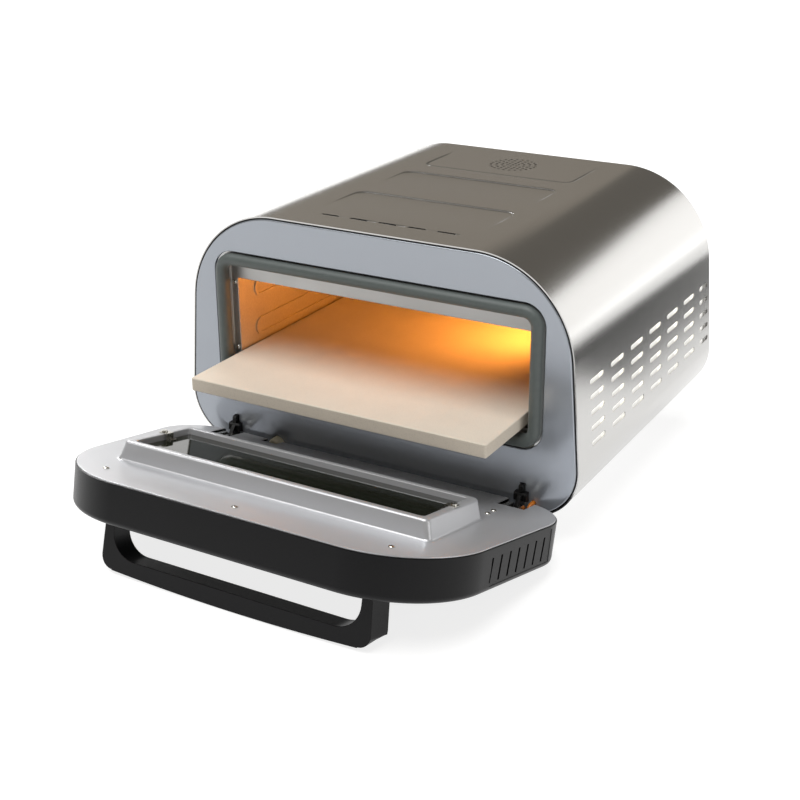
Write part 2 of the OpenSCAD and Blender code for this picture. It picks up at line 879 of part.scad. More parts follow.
module pizza_stone() {
    color(stone_beige) placed() translate([0, stone_y, stone_low])
        linear_extrude(stone_t) round_rect(stone_w / 2, 0, stone_l, 2.5);
}

// Solid door body with a rounded front edge
module rounded_door_block() {
    along_y(-door_d + cover_r, -liner_t - 0.05) door_outline(0);
    hull() for (a = [0:30:90])
        along_y(-door_d + cover_r * (1 - sin(a)), -door_d + cover_r * (1 - sin(a)) + 0.01)
            door_outline(cover_r * (1 - cos(a)));
}

// Cuts the hinge end of the door block on a slant, the more the nearer the front
module hinge_end_slant(inset) {
    along_x(-250, 250)
        polygon([
            [-door_d - 1, inset - 3], [0, inset - 3],
            [-8, inset - 0.5], [-door_d - 1, inset + 6.2]
        ]);
}

// Room around each hinge and the lead, open at the hinge end of the door
module hinge_notches() {
    block(hinge_x - 12, hinge_x + 16, -19, 3, -5, 28.5);
    block(-hinge_x - 12, -hinge_x + 12, -19, 3, -5, 28.5);
}

module plunger_notch() {
    block(plunger_x - 10, plunger_x + 10, -17, 3, -5, 14);
}

// One of the slanted cooling slots in the door's sides
module door_slot(z) {
    for (side = [-1, 1])
        translate([side * 213, -21, z]) rotate([-6.5, 0, 0])
            translate([-16, -11, -1.4]) cube([32, 22, 2.8]);
}

module door_cover() {
    color(black) on_door() difference() {
        union() {
            difference() {
                rounded_door_block();
                hinge_end_slant(0);
                difference() {
                    along_y(-door_d + cover_t, 1) door_outline(cover_t);
                    hinge_end_slant(cover_t);
                }
            }
            for (p = liner_screw_places) rod_y(p[0], p[1], -door_d + 1, -liner_t - 0.05, 9);
        }
        for (p = liner_screw_places) rod_y(p[0], p[1], -14, 0, 3.2);
        along_y(-door_d - 1, -door_d + 5) round_rect(window_half + 10, window_low - 8, window_top + 8, 12);
        block(-112, 112, -door_d - 1, -door_d + 0.8, strip_low, strip_top);
        block(-30, 30, -door_d - 1, -door_d + 4, strip_low + 8, strip_top - 8);
        for (i = [0:6]) door_slot(63.4 + i * 14.93);
        for (x = [-139.5, 139.5]) rod_y(x, bar_low + bar_w / 2, -door_d - 1, -door_d + 5, 4.3);
        hinge_notches();
        plunger_notch();
    }
}

// Four-sided block that narrows with depth: base and top half widths and ends
module tapered(half0, half1, low0, low1, top0, top1, y0, y1) {
    intersection() {
        linear_extrude(top0 + 20)
            polygon([[-half0, y0], [half0, y0], [half1, y1], [-half1, y1]]);
        along_x(-half0 - 1, half0 + 1)
            polygon([[y0, low0], [y0, top0], [y1, top1], [y1, low1]]);
    }
}

// Pressed inner panel of the door with its raised window frame
module door_liner() {
    t = liner_t;
    color(silver_paint) on_door() difference() {
        union() {
            along_y(-t, 0) door_outline(liner_inset);
            tapered(frame_half, frame_half - 5.3, frame_low, frame_low + 1.2,
                    frame_top, frame_top - 2, -t, frame_h);
        }
        difference() {
            tapered(frame_half - t, frame_half - 5.3 - t, frame_low + t, frame_low + 1.2 + t,
                    frame_top - t, frame_top - 2 - t, -t - 0.01, frame_h - t);
            glass_pan(t);
        }
        along_y(glass_z - 1, frame_h + 1) round_rect(window_half, window_low, window_top, 3);
        along_y(-2, frame_h) round_rect(window_half - 7, window_low + 7, window_top - 7, 3);
        for (p = liner_screw_places) rod_y(p[0], p[1], -3, 2, 3.2);
        both_sides() for (z = [54.6, 67.4]) rod_y(hinge_x - 2.3, z, -3, 2, 3.2);
        both_sides() rod_y(window_half + 4, 129, 10, frame_h + 1, 2.7);
        hinge_notches();
        plunger_notch();
    }
}

// Pan under the rim that carries the inner glass
module glass_pan(t) {
    along_y(glass_z - 1 - t, frame_h)
        round_rect(window_half + t, window_low - t, window_top + t, 4);
}

liner_screw_places = [[-150, 220.5], [150, 220.5], [0, 229.3]];

module liner_screws() {
    color(bright) on_door() for (p = liner_screw_places) {
        rod_y(p[0], p[1], 0, 1.2, 6);
        rod_y(p[0], p[1], -12, 0.1, 3);
    }
}

module inner_glass() {
    color([0.10, 0.11, 0.12]) on_door() along_y(glass_z, glass_z + glass_t)
        round_rect(window_half - 0.4, window_low + 0.4, window_top - 0.4, 2.6);
}

module glass_seal() {
    color(black) on_door() along_y(glass_z - 0.95, glass_z - 0.05) difference() {
        round_rect(window_half - 0.4, window_low + 0.4, window_top - 0.4, 2.6);
        round_rect(window_half - 6, window_low + 6, window_top - 6, 2.6);
    }
}

// Spring clips screwed to the rim, each with a tab over the glass
module glass_clips() {
    lift = frame_h + 0.05;
    color(bright) on_door() both_sides() difference() {
        union() {
            block(window_half - 3, window_half + 7.5, lift, lift + 0.8, 124, 134);
            block(window_half - 3, window_half - 2.2, glass_z + glass_t + 0.1, lift + 0.8, 124, 134);
            block(window_half - 8, window_half - 2.2, glass_z + glass_t + 0.1, glass_z + glass_t + 0.9, 124, 134);
        }
        rod_y(window_half + 4, 129, lift - 1, lift + 2, 3);
    }
}

module clip_screws() {
    color(bright) on_door() both_sides() {
        rod_y(window_half + 4, 129, frame_h + 0.9, frame_h + 2.4, 5.5);
        rod_y(window_half + 4, 129, frame_h - 4, frame_h + 1, 2.5);
    }
}

// Sheet channel that joins the two glasses inside the door
module window_tunnel() {
    color(black) on_door() along_y(-door_d + cover_t + glass_t + 0.2, glass_z - 2.1) difference() {
        round_rect(window_half - 1, window_low + 1, window_top - 1, 5);
        round_rect(window_half - 1.8, window_low + 1.8, window_top - 1.8, 4.2);
    }
}

module outer_glass() {
    color([0.10, 0.11, 0.12]) on_door()
        along_y(-door_d + cover_t + 0.05, -door_d + cover_t + glass_t)
            round_rect(window_half + 16, window_low - 14, window_top + 13, 14);
}

// Side view of the handle as X and distance in front of the door
module handle_profile() {
    bow_r = (handle_half * handle_half + bar_bow * bar_bow) / (2 * bar_bow);
    corner = 14;
    difference() {
        intersection() {
            translate([-handle_half, 0]) square([2 * handle_half, handle_out]);
            union() {
                translate([0, handle_out - bow_r]) circle(bow_r, $fn = 720);
                translate([-handle_half, 0]) square([2 * handle_half, handle_out / 2]);
            }
            union() {
                translate([-handle_half, -1]) square([2 * handle_half, handle_out - 10]);
                for (x = [-1, 1]) translate([x * (handle_half - 10), handle_out - 14]) circle(10);
                translate([-handle_half + 10, 0]) square([2 * handle_half - 20, handle_out]);
            }
        }
        translate([-grip_half, -1]) square([2 * grip_half, handle_out - bar_t - corner + 1]);
        translate([-grip_half + corner, -1])
            square([2 * (grip_half - corner), handle_out - bar_t - bar_bow * 0.4 + 1]);
        for (x = [-1, 1])
            translate([x * (grip_half - corner), handle_out - bar_t - corner - bar_bow * 0.4])
                circle(corner);
    }
}

module handle() {
    lean = 4;
    face = -door_d - handle_out;
    color(black) on_door() difference() {
        intersection() {
            translate([0, -door_d - 0.05, bar_low]) mirror([0, 1, 0]) linear_extrude(bar_w)
                handle_profile();
            along_y(-door_d - 70, -door_d)
                polygon([
                    [-handle_half, bar_low], [handle_half, bar_low],
                    [handle_half - lean, bar_top], [-handle_half + lean, bar_top]
                ]);
            along_x(-handle_half - 1, handle_half + 1)
                polygon([
                    [-door_d, bar_low - 1], [-door_d, bar_top + 1], [face - tan(bar_slant), bar_top + 1],
                    [face + (bar_w + 1) * tan(bar_slant), bar_low - 1]
                ]);
        }
        for (x = [-139.5, 139.5])
            rod_y(x, bar_low + bar_w / 2, -door_d - 24, -door_d + 1, 4);
    }
}

module handle_screws() {
    color(bright) on_door() for (x = [-139.5, 139.5]) {
        rod_y(x, bar_low + bar_w / 2, -door_d + cover_t + 0.05, -door_d + cover_t + 2.5, 8);
        rod_y(x, bar_low + bar_w / 2, -door_d - 20, -door_d + cover_t + 0.1, 3.9);
    }
}

// Plain touch strip set into the front of the door, with no markings
module control_strip() {
    color([0.02, 0.02, 0.02]) on_door()
        block(-111.8, 111.8, -door_d - 0.2, -door_d + 0.75, strip_low + 0.2, strip_top - 0.2);
}

module control_board() {
    color(board_green) on_door() {
        block(-100, 100, -door_d + 7, -door_d + 8.6, strip_low + 2, strip_top - 2);
        for (x = [-92, 92]) rod_y(x, 41, -door_d + cover_t + 0.05, -door_d + 7.1, 7);
        block(-25, 25, -door_d + 8.5, -door_d + 12, strip_low + 12, strip_top - 12);
    }
}

// Door half of each hinge: a plate under the liner and two curled knuckles
module hinge_leaves() {
    pivot = door_gap - pivot_out;
    color(bright) on_door() both_sides() difference() {
        union() {
            block(hinge_x - 8, hinge_x + 8, -3.05, -1.05, 30, 76);
            for (x = [hinge_x - 8, hinge_x + 3]) {
                block(x, x + 5, -3.05, -1.05, pivot_z, 31);
                rod_x(pivot, pivot_z, x, x + 5, 13);
            }
        }
        rod_x(pivot, pivot_z, hinge_x - 9, hinge_x + 9, pin_d + pin_play);
        for (z = [54.6, 67.4]) rod_y(hinge_x - 2.3, z, -6, 0, 3.2);
    }
}

module hinge_screws() {
    color(bright) on_door() both_sides() for (z = [54.6, 67.4]) {
        rod_y(hinge_x - 2.3, z, 0.02, 1.4, 5.6);
        rod_y(hinge_x - 2.3, z, -6, 0.1, 3);
    }
}

outer_shell();
fascia();
fascia_trim();
mouth_frame();
mouth_screws();
door_gasket();
cavity_left_wall();
cavity_right_wall();
cavity_roof();
cavity_floor();
cavity_back();
stone_rail_left();
stone_rail_right();
upper_heater();
lower_heater();
heater_holders();
oven_lamp();
lamp_lens();
temperature_probe();
thermal_cutout();
vent_duct();
insulation_left();
insulation_right();
insulation_top();
insulation_back();
insulation_bottom();
power_board();
board_pillars();
terminal_block();
bottom_plate();
back_panel();
back_screws();
bottom_screws();
cord_gland();
feet();
foot_screws();
hinge_arm_left();
hinge_arm_right();
hinge_brackets();
hinge_rivets();
hinge_pins();
door_lead();
switch_housing();
door_switch_plunger();
pizza_stone();
door_cover();
door_liner();
liner_screws();
inner_glass();
glass_seal();
glass_clips();
clip_screws();
window_tunnel();
outer_glass();
handle();
handle_screws();
control_strip();
control_board();
hinge_leaves();
hinge_screws();
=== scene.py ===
"""Electric pizza maker: smooth visible pieces, finishes, studio and camera around the fixed model.

Pieces are modelled in millimetres, either from the fascia's face and the shell's underside, or, for
the door, as if it were shut: Y is the depth from the liner's face and Z the distance from the
hinge edge. finish_piece() then places them in the model's own metres.
"""
import json
import math

import bmesh
import bpy
from mathutils import Matrix, Vector


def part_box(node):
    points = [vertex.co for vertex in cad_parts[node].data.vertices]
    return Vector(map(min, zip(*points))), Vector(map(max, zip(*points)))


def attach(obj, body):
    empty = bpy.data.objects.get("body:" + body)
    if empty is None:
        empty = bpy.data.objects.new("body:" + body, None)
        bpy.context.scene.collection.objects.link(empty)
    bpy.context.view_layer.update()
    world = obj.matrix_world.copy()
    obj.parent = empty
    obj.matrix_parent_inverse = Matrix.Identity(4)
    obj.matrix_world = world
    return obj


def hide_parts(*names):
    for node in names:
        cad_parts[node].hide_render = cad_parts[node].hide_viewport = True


bl_info = {
    "name": "Electric pizza maker",
    "version": (1, 0, 0),
    "blender": (4, 5, 0),
    "location": "3D View > Sidebar > Pizza maker",
    "description": "Builds the visible pieces, finishes and studio of a countertop pizza oven",
    "category": "Object",
}

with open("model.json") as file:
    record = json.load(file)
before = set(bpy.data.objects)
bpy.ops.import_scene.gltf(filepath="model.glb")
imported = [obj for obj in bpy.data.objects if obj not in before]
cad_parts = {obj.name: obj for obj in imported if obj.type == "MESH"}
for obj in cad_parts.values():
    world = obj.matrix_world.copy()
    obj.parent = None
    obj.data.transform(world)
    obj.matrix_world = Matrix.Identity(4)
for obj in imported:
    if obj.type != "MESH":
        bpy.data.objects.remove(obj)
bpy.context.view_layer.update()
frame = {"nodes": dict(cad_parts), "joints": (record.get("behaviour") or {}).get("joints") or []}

MM = 0.001
FASCIA_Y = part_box("fascia")[0].y
SHELL_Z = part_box("outer_shell")[0].z
SHELL_DEPTH = (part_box("outer_shell")[1].y - FASCIA_Y) / MM
FASCIA_INSET = 2.8
BODY_HIGH = (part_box("fascia")[1].z - SHELL_Z) / MM + FASCIA_INSET
HINGE = next(j for j in frame["joints"] if j["name"] == "door_hinge")
PIVOT = Vector(HINGE["pos_m"])
DOOR_OPEN = math.radians(max(HINGE["range_deg"]))
BODY_PLACE = Matrix.Translation((0, FASCIA_Y, SHELL_Z)) @ Matrix.Scale(MM, 4)
DOOR_GAP = 6


def door_place():
    """Matrix from the shut door's own millimetres to the open door's place in the model."""
    turn = (Matrix.Translation(PIVOT) @ Matrix.Rotation(DOOR_OPEN, 4, "X")
            @ Matrix.Translation(-PIVOT))
    return turn @ BODY_PLACE @ Matrix.Translation((0, -DOOR_GAP, 0))


DOOR_PLACE = door_place()


def length(name, description, default):
    """A size in millimetres that a user may change."""
    return bpy.props.FloatProperty(name=name, description=description, default=default,
                                   min=0.0, soft_max=1000.0, precision=2)


def amount(name, description, default, **more):
    """A number that isn't a length, such as a strength or a slope."""
    return bpy.props.FloatProperty(name=name, description=description, default=default, **more)


def colour(name, description, default):
    """A colour as an sRGB hex value."""
    return bpy.props.StringProperty(name=name, description=description, default=default)


class BodySizes(bpy.types.PropertyGroup):
    half_width: length(
        "Half width", "Half the body's width at its underside, if its corners were sharp", 224.95)
    lean: amount("Lean", "How far each side leans in for its height", 0.0846, subtype="FACTOR")
    low_radius: length("Lower radius", "Radius of the two lower corners", 52.8)
    top_radius: length("Upper radius", "Radius of the two upper corners", 101.5)
    sheet: length("Sheet", "Thickness of the shell's steel", 1.2)
    front: length("Front", "Distance of the shell's front edge behind the fascia's face", 1.0)
    vent_length: length("Slot length", "Length of a slot in the side", 32.7)
    vent_height: length("Slot height", "Height of a slot in the side", 5.0)
    vent_step: length("Slot step", "Distance from one side slot to the next", 50.7)
    row_step: length("Row step", "Distance from one row of side slots to the next", 15.2)
    press_depth: length("Pressing", "Depth of the pressed panels in the top", 1.15)


class MouthSizes(bpy.types.PropertyGroup):
    half_width: length("Half width", "Half the width of the opening in the fascia", 182.5)
    low: length("Underside", "Height of the opening's underside", 67.3)
    top: length("Top", "Height of the opening's top", 210.5)
    radius: length("Radius", "Corner radius of the opening", 22.0)
    seal_width: length("Seal width", "Width of the door seal", 12.0)
    seal_out: length("Seal front", "How far the seal stands in front of the fascia", 5.7)


class DoorSizes(bpy.types.PropertyGroup):
    half_width: length(
        "Half width", "Half the door's width at its hinge edge, if its corners were sharp", 223.8)
    height: length("Height", "Height of the shut door", 252.64)
    lean: amount("Lean", "How far each side leans in for its height", 0.0857, subtype="FACTOR")
    low_radius: length("Hinge radius", "Radius of the corners beside the hinges", 50.3)
    top_radius: length("Upper radius", "Radius of the door's upper corners", 93.3)
    depth: length("Depth", "Depth of the door", 40.5)
    wall: length("Wall", "Wall of the plastic cover", 2.5)
    edge_radius: length("Edge radius", "Roundness of the cover's front edge", 6.0)
    frame_half: length("Frame half width", "Half the width of the raised window frame", 167.0)
    frame_low: length("Frame low", "Lower edge of the raised frame", 85.5)
    frame_top: length("Frame top", "Upper edge of the raised frame", 186.5)
    frame_high: length("Frame height", "Height of the raised frame", 18.1)
    rim: length("Rim", "Width of the frame's flat rim", 8.0)
    glass_depth: length("Glass depth", "Height of the inner glass's underside above the liner", 8.5)


class HandleSizes(bpy.types.PropertyGroup):
    half_width: length("Half width", "Half the width over the legs", 148.0)
    grip_half: length("Grip half width", "Half the width of the opening behind the bar", 131.0)
    out: length("Reach", "How far the bar stands in front of the door", 54.2)
    bar: length("Bar", "Thickness of the bar", 16.0)
    bow: length("Bow", "How far the bar bows out", 4.5)
    width: length("Width", "Width of the bar along the door", 22.0)
    low: length("Lower side", "Distance of the bar from the hinge edge", 204.5)
    inner_radius: length("Inner radius", "Radius between leg and bar", 24.0)
    edge: length("Edge", "Roundness of the handle's edges", 5.0)


class Finishes(bpy.types.PropertyGroup):
    steel: colour("Steel", "Brushed stainless steel of the shell", "#C4C3C1")
    fascia: colour("Fascia", "Satin paint of the fascia", "#A0A5AC")
    liner: colour("Liner", "Silver paint of the door's liner", "#C4C5C8")
    black: colour("Black", "Moulded plastic of the door and its handle", "#050507")
    seal: colour("Seal", "Silicone of the door seal", "#4E5553")
    stone: colour("Stone", "Fired cordierite of the stone", "#D2C8B9")
    wool: colour("Blanket", "Ceramic fibre blanket behind the slots", "#F4F2EA")


class Studio(bpy.types.PropertyGroup):
    floor: colour("Floor", "Colour of the floor", "#9C9C9C")
    floor_glow: amount("Floor glow", "Light that comes up through the floor", 0.80)
    ambient: amount("Ambient", "Strength of the room's light", 0.16)
    scrim: amount("Scrim", "Strength of the wide light overhead", 2.9)
    lamp: amount("Oven lamp", "Power of the light on the cavity's wall", 0.62, unit="POWER")


# Colours

def linear(hex_value):
    """Turns an sRGB hex value into the linear colour that a shader takes."""
    parts = [int(hex_value[i:i + 2], 16) / 255 for i in (1, 3, 5)]
    return tuple(p / 12.92 if p <= 0.04045 else ((p + 0.055) / 1.055) ** 2.4 for p in parts) + (1.0,)


def shade(hex_value, share):
    """The same hex colour made darker or lighter by a share of its linear value."""
    return tuple(min(1.0, c * share) for c in linear(hex_value)[:3]) + (1.0,)


# Materials

def add(tree, kind, settings=None, **links):
    """Adds a node, sets its properties and inputs, and links outputs of other nodes to it."""
    node = tree.nodes.new(kind)
    for key, value in (settings or {}).items():
        if isinstance(key, str) and hasattr(node, key):
            setattr(node, key, value)
        else:
            node.inputs[key].default_value = value
    for key, source in links.items():
        tree.links.new(source, node.inputs[key.replace("_", " ")])
    return node


def new_material(name, settings):
    """A material with its Principled shader set, and that shader and its tree."""
    material = bpy.data.materials.new(name)
    material.use_nodes = True
    tree = material.node_tree
    shader = tree.nodes["Principled BSDF"]
    for key, value in settings.items():
        shader.inputs[key].default_value = value
    return material, tree, shader


def object_grain(tree, spacing_mm, detail=2.0):
    """Noise on object coordinates; spacing_mm gives its grain along X, Y and Z."""
    coords = add(tree, "ShaderNodeTexCoord")
    mapping = add(tree, "ShaderNodeMapping", {"Scale": [1 / (s * MM) for s in spacing_mm]},
                  Vector=coords.outputs["Object"])
    return add(tree, "ShaderNodeTexNoise", {"Scale": 1.0, "Detail": detail, "Roughness": 0.6},
               Vector=mapping.outputs["Vector"])


def spread(tree, source, low, high):
    """Maps the middle half of a pattern onto a range."""
    settings = {"From Min": 0.25, "From Max": 0.75, "To Min": low, "To Max": high}
    return add(tree, "ShaderNodeMapRange", settings, Value=source).outputs["Result"]


# Colour sockets of a Mix node, which has one set of sockets for each kind of data
MIX_FACTOR, MIX_A, MIX_B, MIX_RESULT = 0, 6, 7, 2


def tint(tree, source, dark, light):
    """Colours a pattern from dark to light."""
    ramp = add(tree, "ShaderNodeMix", {"data_type": "RGBA"})
    ramp.inputs[MIX_A].default_value = dark
    ramp.inputs[MIX_B].default_value = light
    tree.links.new(source, ramp.inputs[MIX_FACTOR])
    return ramp.outputs[MIX_RESULT]


def grain_bump(tree, shader, source, height_mm, strength=1.0):
    """Gives the shader a bump of a real height."""
    bump = add(tree, "ShaderNodeBump", {"Strength": strength, "Distance": height_mm * MM}, Height=source)
    tree.links.new(bump.outputs["Normal"], shader.inputs["Normal"])


def grained(name, base, metallic, roughness, spacing_mm, vary, bump_mm, settings=None, swing=0.08):
    """A finish with one grain that varies its colour by a share, its roughness and its height."""
    made = {"Base Color": linear(base), "Metallic": metallic, "Roughness": roughness}
    made.update(settings or {})
    material, tree, shader = new_material(name, made)
    noise = object_grain(tree, spacing_mm).outputs["Fac"]
    level = spread(tree, noise, 0.0, 1.0)
    coloured = tint(tree, level, shade(base, 1 - vary), shade(base, 1 + vary))
    tree.links.new(coloured, shader.inputs["Base Color"])
    rough = spread(tree, noise, max(0.0, roughness - swing), min(1.0, roughness + swing))
    tree.links.new(rough, shader.inputs["Roughness"])
    if bump_mm:
        grain_bump(tree, shader, noise, bump_mm)
    return material


def make_materials():
    """All finishes by name, made once."""
    f = bpy.context.scene.oven_finishes
    made = {}

    # Stainless steel brushed up and over the shell: fine lines across its depth, soft wide glints
    made["brushed_stainless"] = grained(
        "Stainless_steel_brushed", f.steel, 1.0, 0.22, (90, 0.6, 90), 0.02, 0.0003,
        {"Anisotropic": 0.4}, 0.02)
    tree = made["brushed_stainless"].node_tree
    tangent = add(tree, "ShaderNodeTangent", {"direction_type": "RADIAL", "axis": "Y"})
    tree.links.new(tangent.outputs["Tangent"], tree.nodes["Principled BSDF"].inputs["Tangent"])
    # Stainless sheet as rolled, a little cloudy
    made["rolled_stainless"] = grained(
        "Stainless_steel_rolled", "#B4B3B1", 0.85, 0.38, (40, 3, 40), 0.02, 0.0)
    # Aluminised steel of the cavity, warm and dull, with a fine spangle
    made["aluminised_steel"] = grained(
        "Aluminised_steel_sheet", "#C9BFAE", 0.75, 0.46, (2.5, 2.5, 2.5), 0.10, 0.01)
    # Powder coat on the fascia: even satin with faint clouds
    made["fascia_coat"] = grained(
        "Steel_powder_coated", f.fascia, 0.6, 0.22, (25, 25, 25), 0.01, 0.0, swing=0.01)
    # Silver paint on the pressed liner: bright at flat angles, with faint clouds
    made["silver_paint"] = grained(
        "Steel_silver_painted", f.liner, 0.6, 0.36, (25, 25, 25), 0.01, 0.0, swing=0.01)
    # ABS moulded with a fine spark texture: black with a soft wide sheen
    made["moulded_abs"] = grained(
        "ABS_moulded_fine_texture", f.black, 0.0, 0.34, (0.8, 0.8, 0.8), 0.15, 0.003,
        {"Specular IOR Level": 0.22})
    # Moulded silicone, dull with a faint bloom
    made["silicone"] = grained(
        "Silicone_moulded", f.seal, 0.0, 0.48, (6, 6, 6), 0.10, 0.0, {"Sheen Weight": 0.15})
    # Rubber of the feet: flat, nearly black and finely pitted
    made["rubber"] = grained("Rubber_moulded", "#151515", 0.0, 0.62, (1.5, 1.5, 1.5), 0.2, 0.02)
    # Zinc plate: bright and slightly uneven, seen on screws, clips and knuckles
    made["zinc_plate"] = grained("Steel_zinc_plated", "#CFCDC6", 1.0, 0.22, (2, 2, 2), 0.06, 0.0)
    # Black oxide on the hinge arms: dark metal with a soft sheen
    made["black_oxide"] = grained("Steel_black_oxide", "#0C0C0D", 0.4, 0.42, (2, 2, 2), 0.2, 0.0)
    # Sheath of the heating elements, dark from heat
    made["element_sheath"] = grained("Incoloy_sheath_oxidised", "#3A3733", 0.8, 0.5, (4, 4, 4), 0.2, 0.01)
    # Fibre blanket, white and soft
    made["blanket"] = grained("Ceramic_fibre_blanket", f.wool, 0.0, 0.95, (3, 3, 12), 0.04, 0.3)
    # The same blanket behind the side slots, with a painted glow: a little emission that stands in for
    # light, so that it shows white in there
    glow = {"Emission Color": linear("#FFFFFF"), "Emission Strength": 0.5}
    made["slot_blanket_painted_glow"] = grained(
        "Ceramic_fibre_blanket_painted_glow", f.wool, 0.0, 0.95, (3, 3, 12), 0.04, 0.3, glow)
    # Varnished glass sleeve of the door's lead: warm amber with the weave just felt
    made["amber_sleeve"] = grained("Glass_sleeve_varnished", "#C4701B", 0.0, 0.35, (1, 1, 1), 0.2, 0.05)
    # Natural nylon: smooth ivory
    made["ivory_nylon"] = grained("Nylon_moulded", "#E9E2CB", 0.0, 0.35, (3, 3, 3), 0.03, 0.0)
    # Solder mask of the boards: dark green with a soft gloss
    made["board"] = grained("Glass_epoxy_solder_mask", "#14492A", 0.0, 0.4, (2, 2, 2), 0.15, 0.0)
    # Fired cordierite: matt, with fine pores and faint warmer patches
    made["cordierite"] = stone_material(f.stone)
    # Toughened glass over the dark inside of the door: near black with sharp reflections
    made["tinted_glass"] = grained(
        "Glass_toughened_tinted", "#16180F", 0.0, 0.06, (60, 60, 60), 0.1, 0.0, swing=0.02)
    # Fired black enamel round the glass, a little less sharp than it
    made["black_enamel"] = grained(
        "Enamel_fired_black", "#050505", 0.0, 0.12, (20, 20, 20), 0.1, 0.0, swing=0.03)
    # Frosted lamp glass, glowing warm
    lit = {"Base Color": linear("#FFE2B0"), "Roughness": 0.3,
           "Emission Color": linear("#FFB45A"), "Emission Strength": 1.2}
    made["lamp_glass"] = new_material("Borosilicate_glass_lit", lit)[0]
    return made


def stone_material(base):
    """Cordierite pressed and fired: pores of under a millimetre and clouds of a few centimetres."""
    material, tree, shader = new_material("Cordierite_pressed_fired", {"Roughness": 0.88})
    clouds = object_grain(tree, (35, 35, 35), 3.0)
    pores = object_grain(tree, (0.9, 0.9, 0.9), 4.0)
    cloud = tint(tree, clouds.outputs["Fac"], shade(base, 0.93), shade(base, 1.05))
    pore_levels = {"From Min": 0.36, "From Max": 0.44, "To Min": 0.86, "To Max": 1.0}
    pore = add(tree, "ShaderNodeMapRange", pore_levels, Value=pores.outputs["Fac"])
    mix = add(tree, "ShaderNodeMix", {"data_type": "RGBA", "blend_type": "MULTIPLY", "Factor": 1.0})
    tree.links.new(cloud, mix.inputs[MIX_A])
    tree.links.new(pore.outputs["Result"], mix.inputs[MIX_B])
    tree.links.new(mix.outputs[MIX_RESULT], shader.inputs["Base Color"])
    grain_bump(tree, shader, pores.outputs["Fac"], 0.12, 0.6)
    return material


FINISHES = {}


def finish_of(name):
    """A finish by name, making all of them at the first call."""
    if not FINISHES:
        FINISHES.update(make_materials())
    return FINISHES[name]


# Shaping

def ring(bm, arcs, y, steps):
    """Closed wire of arcs (x, z, radius, from degrees, to degrees) at depth y, joined by straights."""
    verts = []
    for x, z, radius, start, end in arcs:
        a = math.radians(start)
        first = bm.verts.new((x + radius * math.cos(a), y, z + radius * math.sin(a)))
        before = len(bm.verts)
        bmesh.ops.spin(bm, geom=[first], cent=(x, y, z), axis=(0, -1, 0),
                       angle=math.radians(end - start), steps=steps, use_merge=False)
        bm.verts.ensure_lookup_table()
        verts += [first] + bm.verts[before:]
    edges = [bm.edges.get(pair) or bm.edges.new(pair) for pair in zip(verts, verts[1:] + verts[:1])]
    return verts, edges


def outline(arcs, steps):
    """The points of a ring, in its own order."""
    points = []
    for x, z, radius, start, end in arcs:
        for i in range(steps + 1):
            a = math.radians(start + (end - start) * i / steps)
            points.append((x + radius * math.cos(a), z + radius * math.sin(a)))
    return points


def leaning_arcs(half, high, lean, r_low, r_top, inset=0.0):
    """Corner arcs of the rounded outline that narrows upwards, drawn inset inside itself."""
    t = math.degrees(math.atan(lean))
    c = math.cos(math.radians(t))
    x_low = half - lean * r_low - r_low / c
    x_top = half - lean * (high - r_top) - r_top / c
    low, top = r_low - inset, r_top - inset
    return [(x_low, r_low, low, -90, t), (x_top, high - r_top, top, t, 90),
            (-x_top, high - r_top, top, 90, 180 - t), (-x_low, r_low, low, 180 - t, 270)]


def rect_arcs(half, low, top, radius, inset=0.0):
    """Corner arcs of a rounded rectangle, drawn inset inside itself."""
    r = max(radius - inset, 0.05)
    h, z0, z1 = half - inset, low + inset, top - inset
    return [(h - r, z0 + r, r, -90, 0), (h - r, z1 - r, r, 0, 90),
            (-h + r, z1 - r, r, 90, 180), (-h + r, z0 + r, r, 180, 270)]


def pulled(bm, edges):
    """Extrudes a row of edges where it lies; returns the new vertices and the new row."""
    made = bmesh.ops.extrude_edge_only(bm, edges=edges)["geom"]
    moved = {g for g in made if isinstance(g, bmesh.types.BMVert)}
    return moved, [g for g in made if isinstance(g, bmesh.types.BMEdge) and moved.issuperset(g.verts)]


def loft(bm, rows, steps=16, closed=False, front=False, back=False):
    """Draws the first (arcs, depth) as a wire and extrudes it from each outline to the next."""
    verts, edges = ring(bm, *rows[0], steps)
    first = edges
    for arcs, y in rows[1:] + (rows[:1] if closed else []):
        moved, edges = pulled(bm, edges)
        verts = [next(e.other_vert(v) for e in v.link_edges if e.other_vert(v) in moved) for v in verts]
        for v, (x, z) in zip(verts, outline(arcs, steps)):
            v.co = (x, y, z)
    if front:
        bmesh.ops.contextual_create(bm, geom=first)
    if back:
        bmesh.ops.contextual_create(bm, geom=edges)


def quarter_round(radius, steps):
    """Pairs along the quarter circle of a rounded edge, from (0, radius) to (radius, 0)."""
    turns = [math.radians(90 * i / steps) for i in range(steps + 1)]
    return [(radius * (1 - math.cos(a)), radius * (1 - math.sin(a))) for a in turns]


def turn_faces(bm, score, direction):
    """Turns all faces alike, so that the one whose centre scores highest looks along a direction."""
    bmesh.ops.recalc_face_normals(bm, faces=bm.faces)
    face = max(bm.faces, key=lambda f: score(f.calc_center_median()))
    if face.normal.dot(Vector(direction)) < 0:
        bmesh.ops.reverse_faces(bm, faces=bm.faces)


def block(bm, x0, x1, y0, y1, z0, z1, turn=None):
    """Box between two corners, made by scaling a unit cube; returns its vertices."""
    centre = Vector(((x0 + x1) / 2, (y0 + y1) / 2, (z0 + z1) / 2))
    size = Matrix.Diagonal((x1 - x0, y1 - y0, z1 - z0, 1))
    place = Matrix.Translation(centre) @ (turn or Matrix()) @ size
    return bmesh.ops.create_cube(bm, size=1.0, matrix=place)["verts"]


def facing(axis):
    """Turn that brings Z onto an axis."""
    return axis.to_track_quat("Z", "Y").to_matrix().to_4x4()


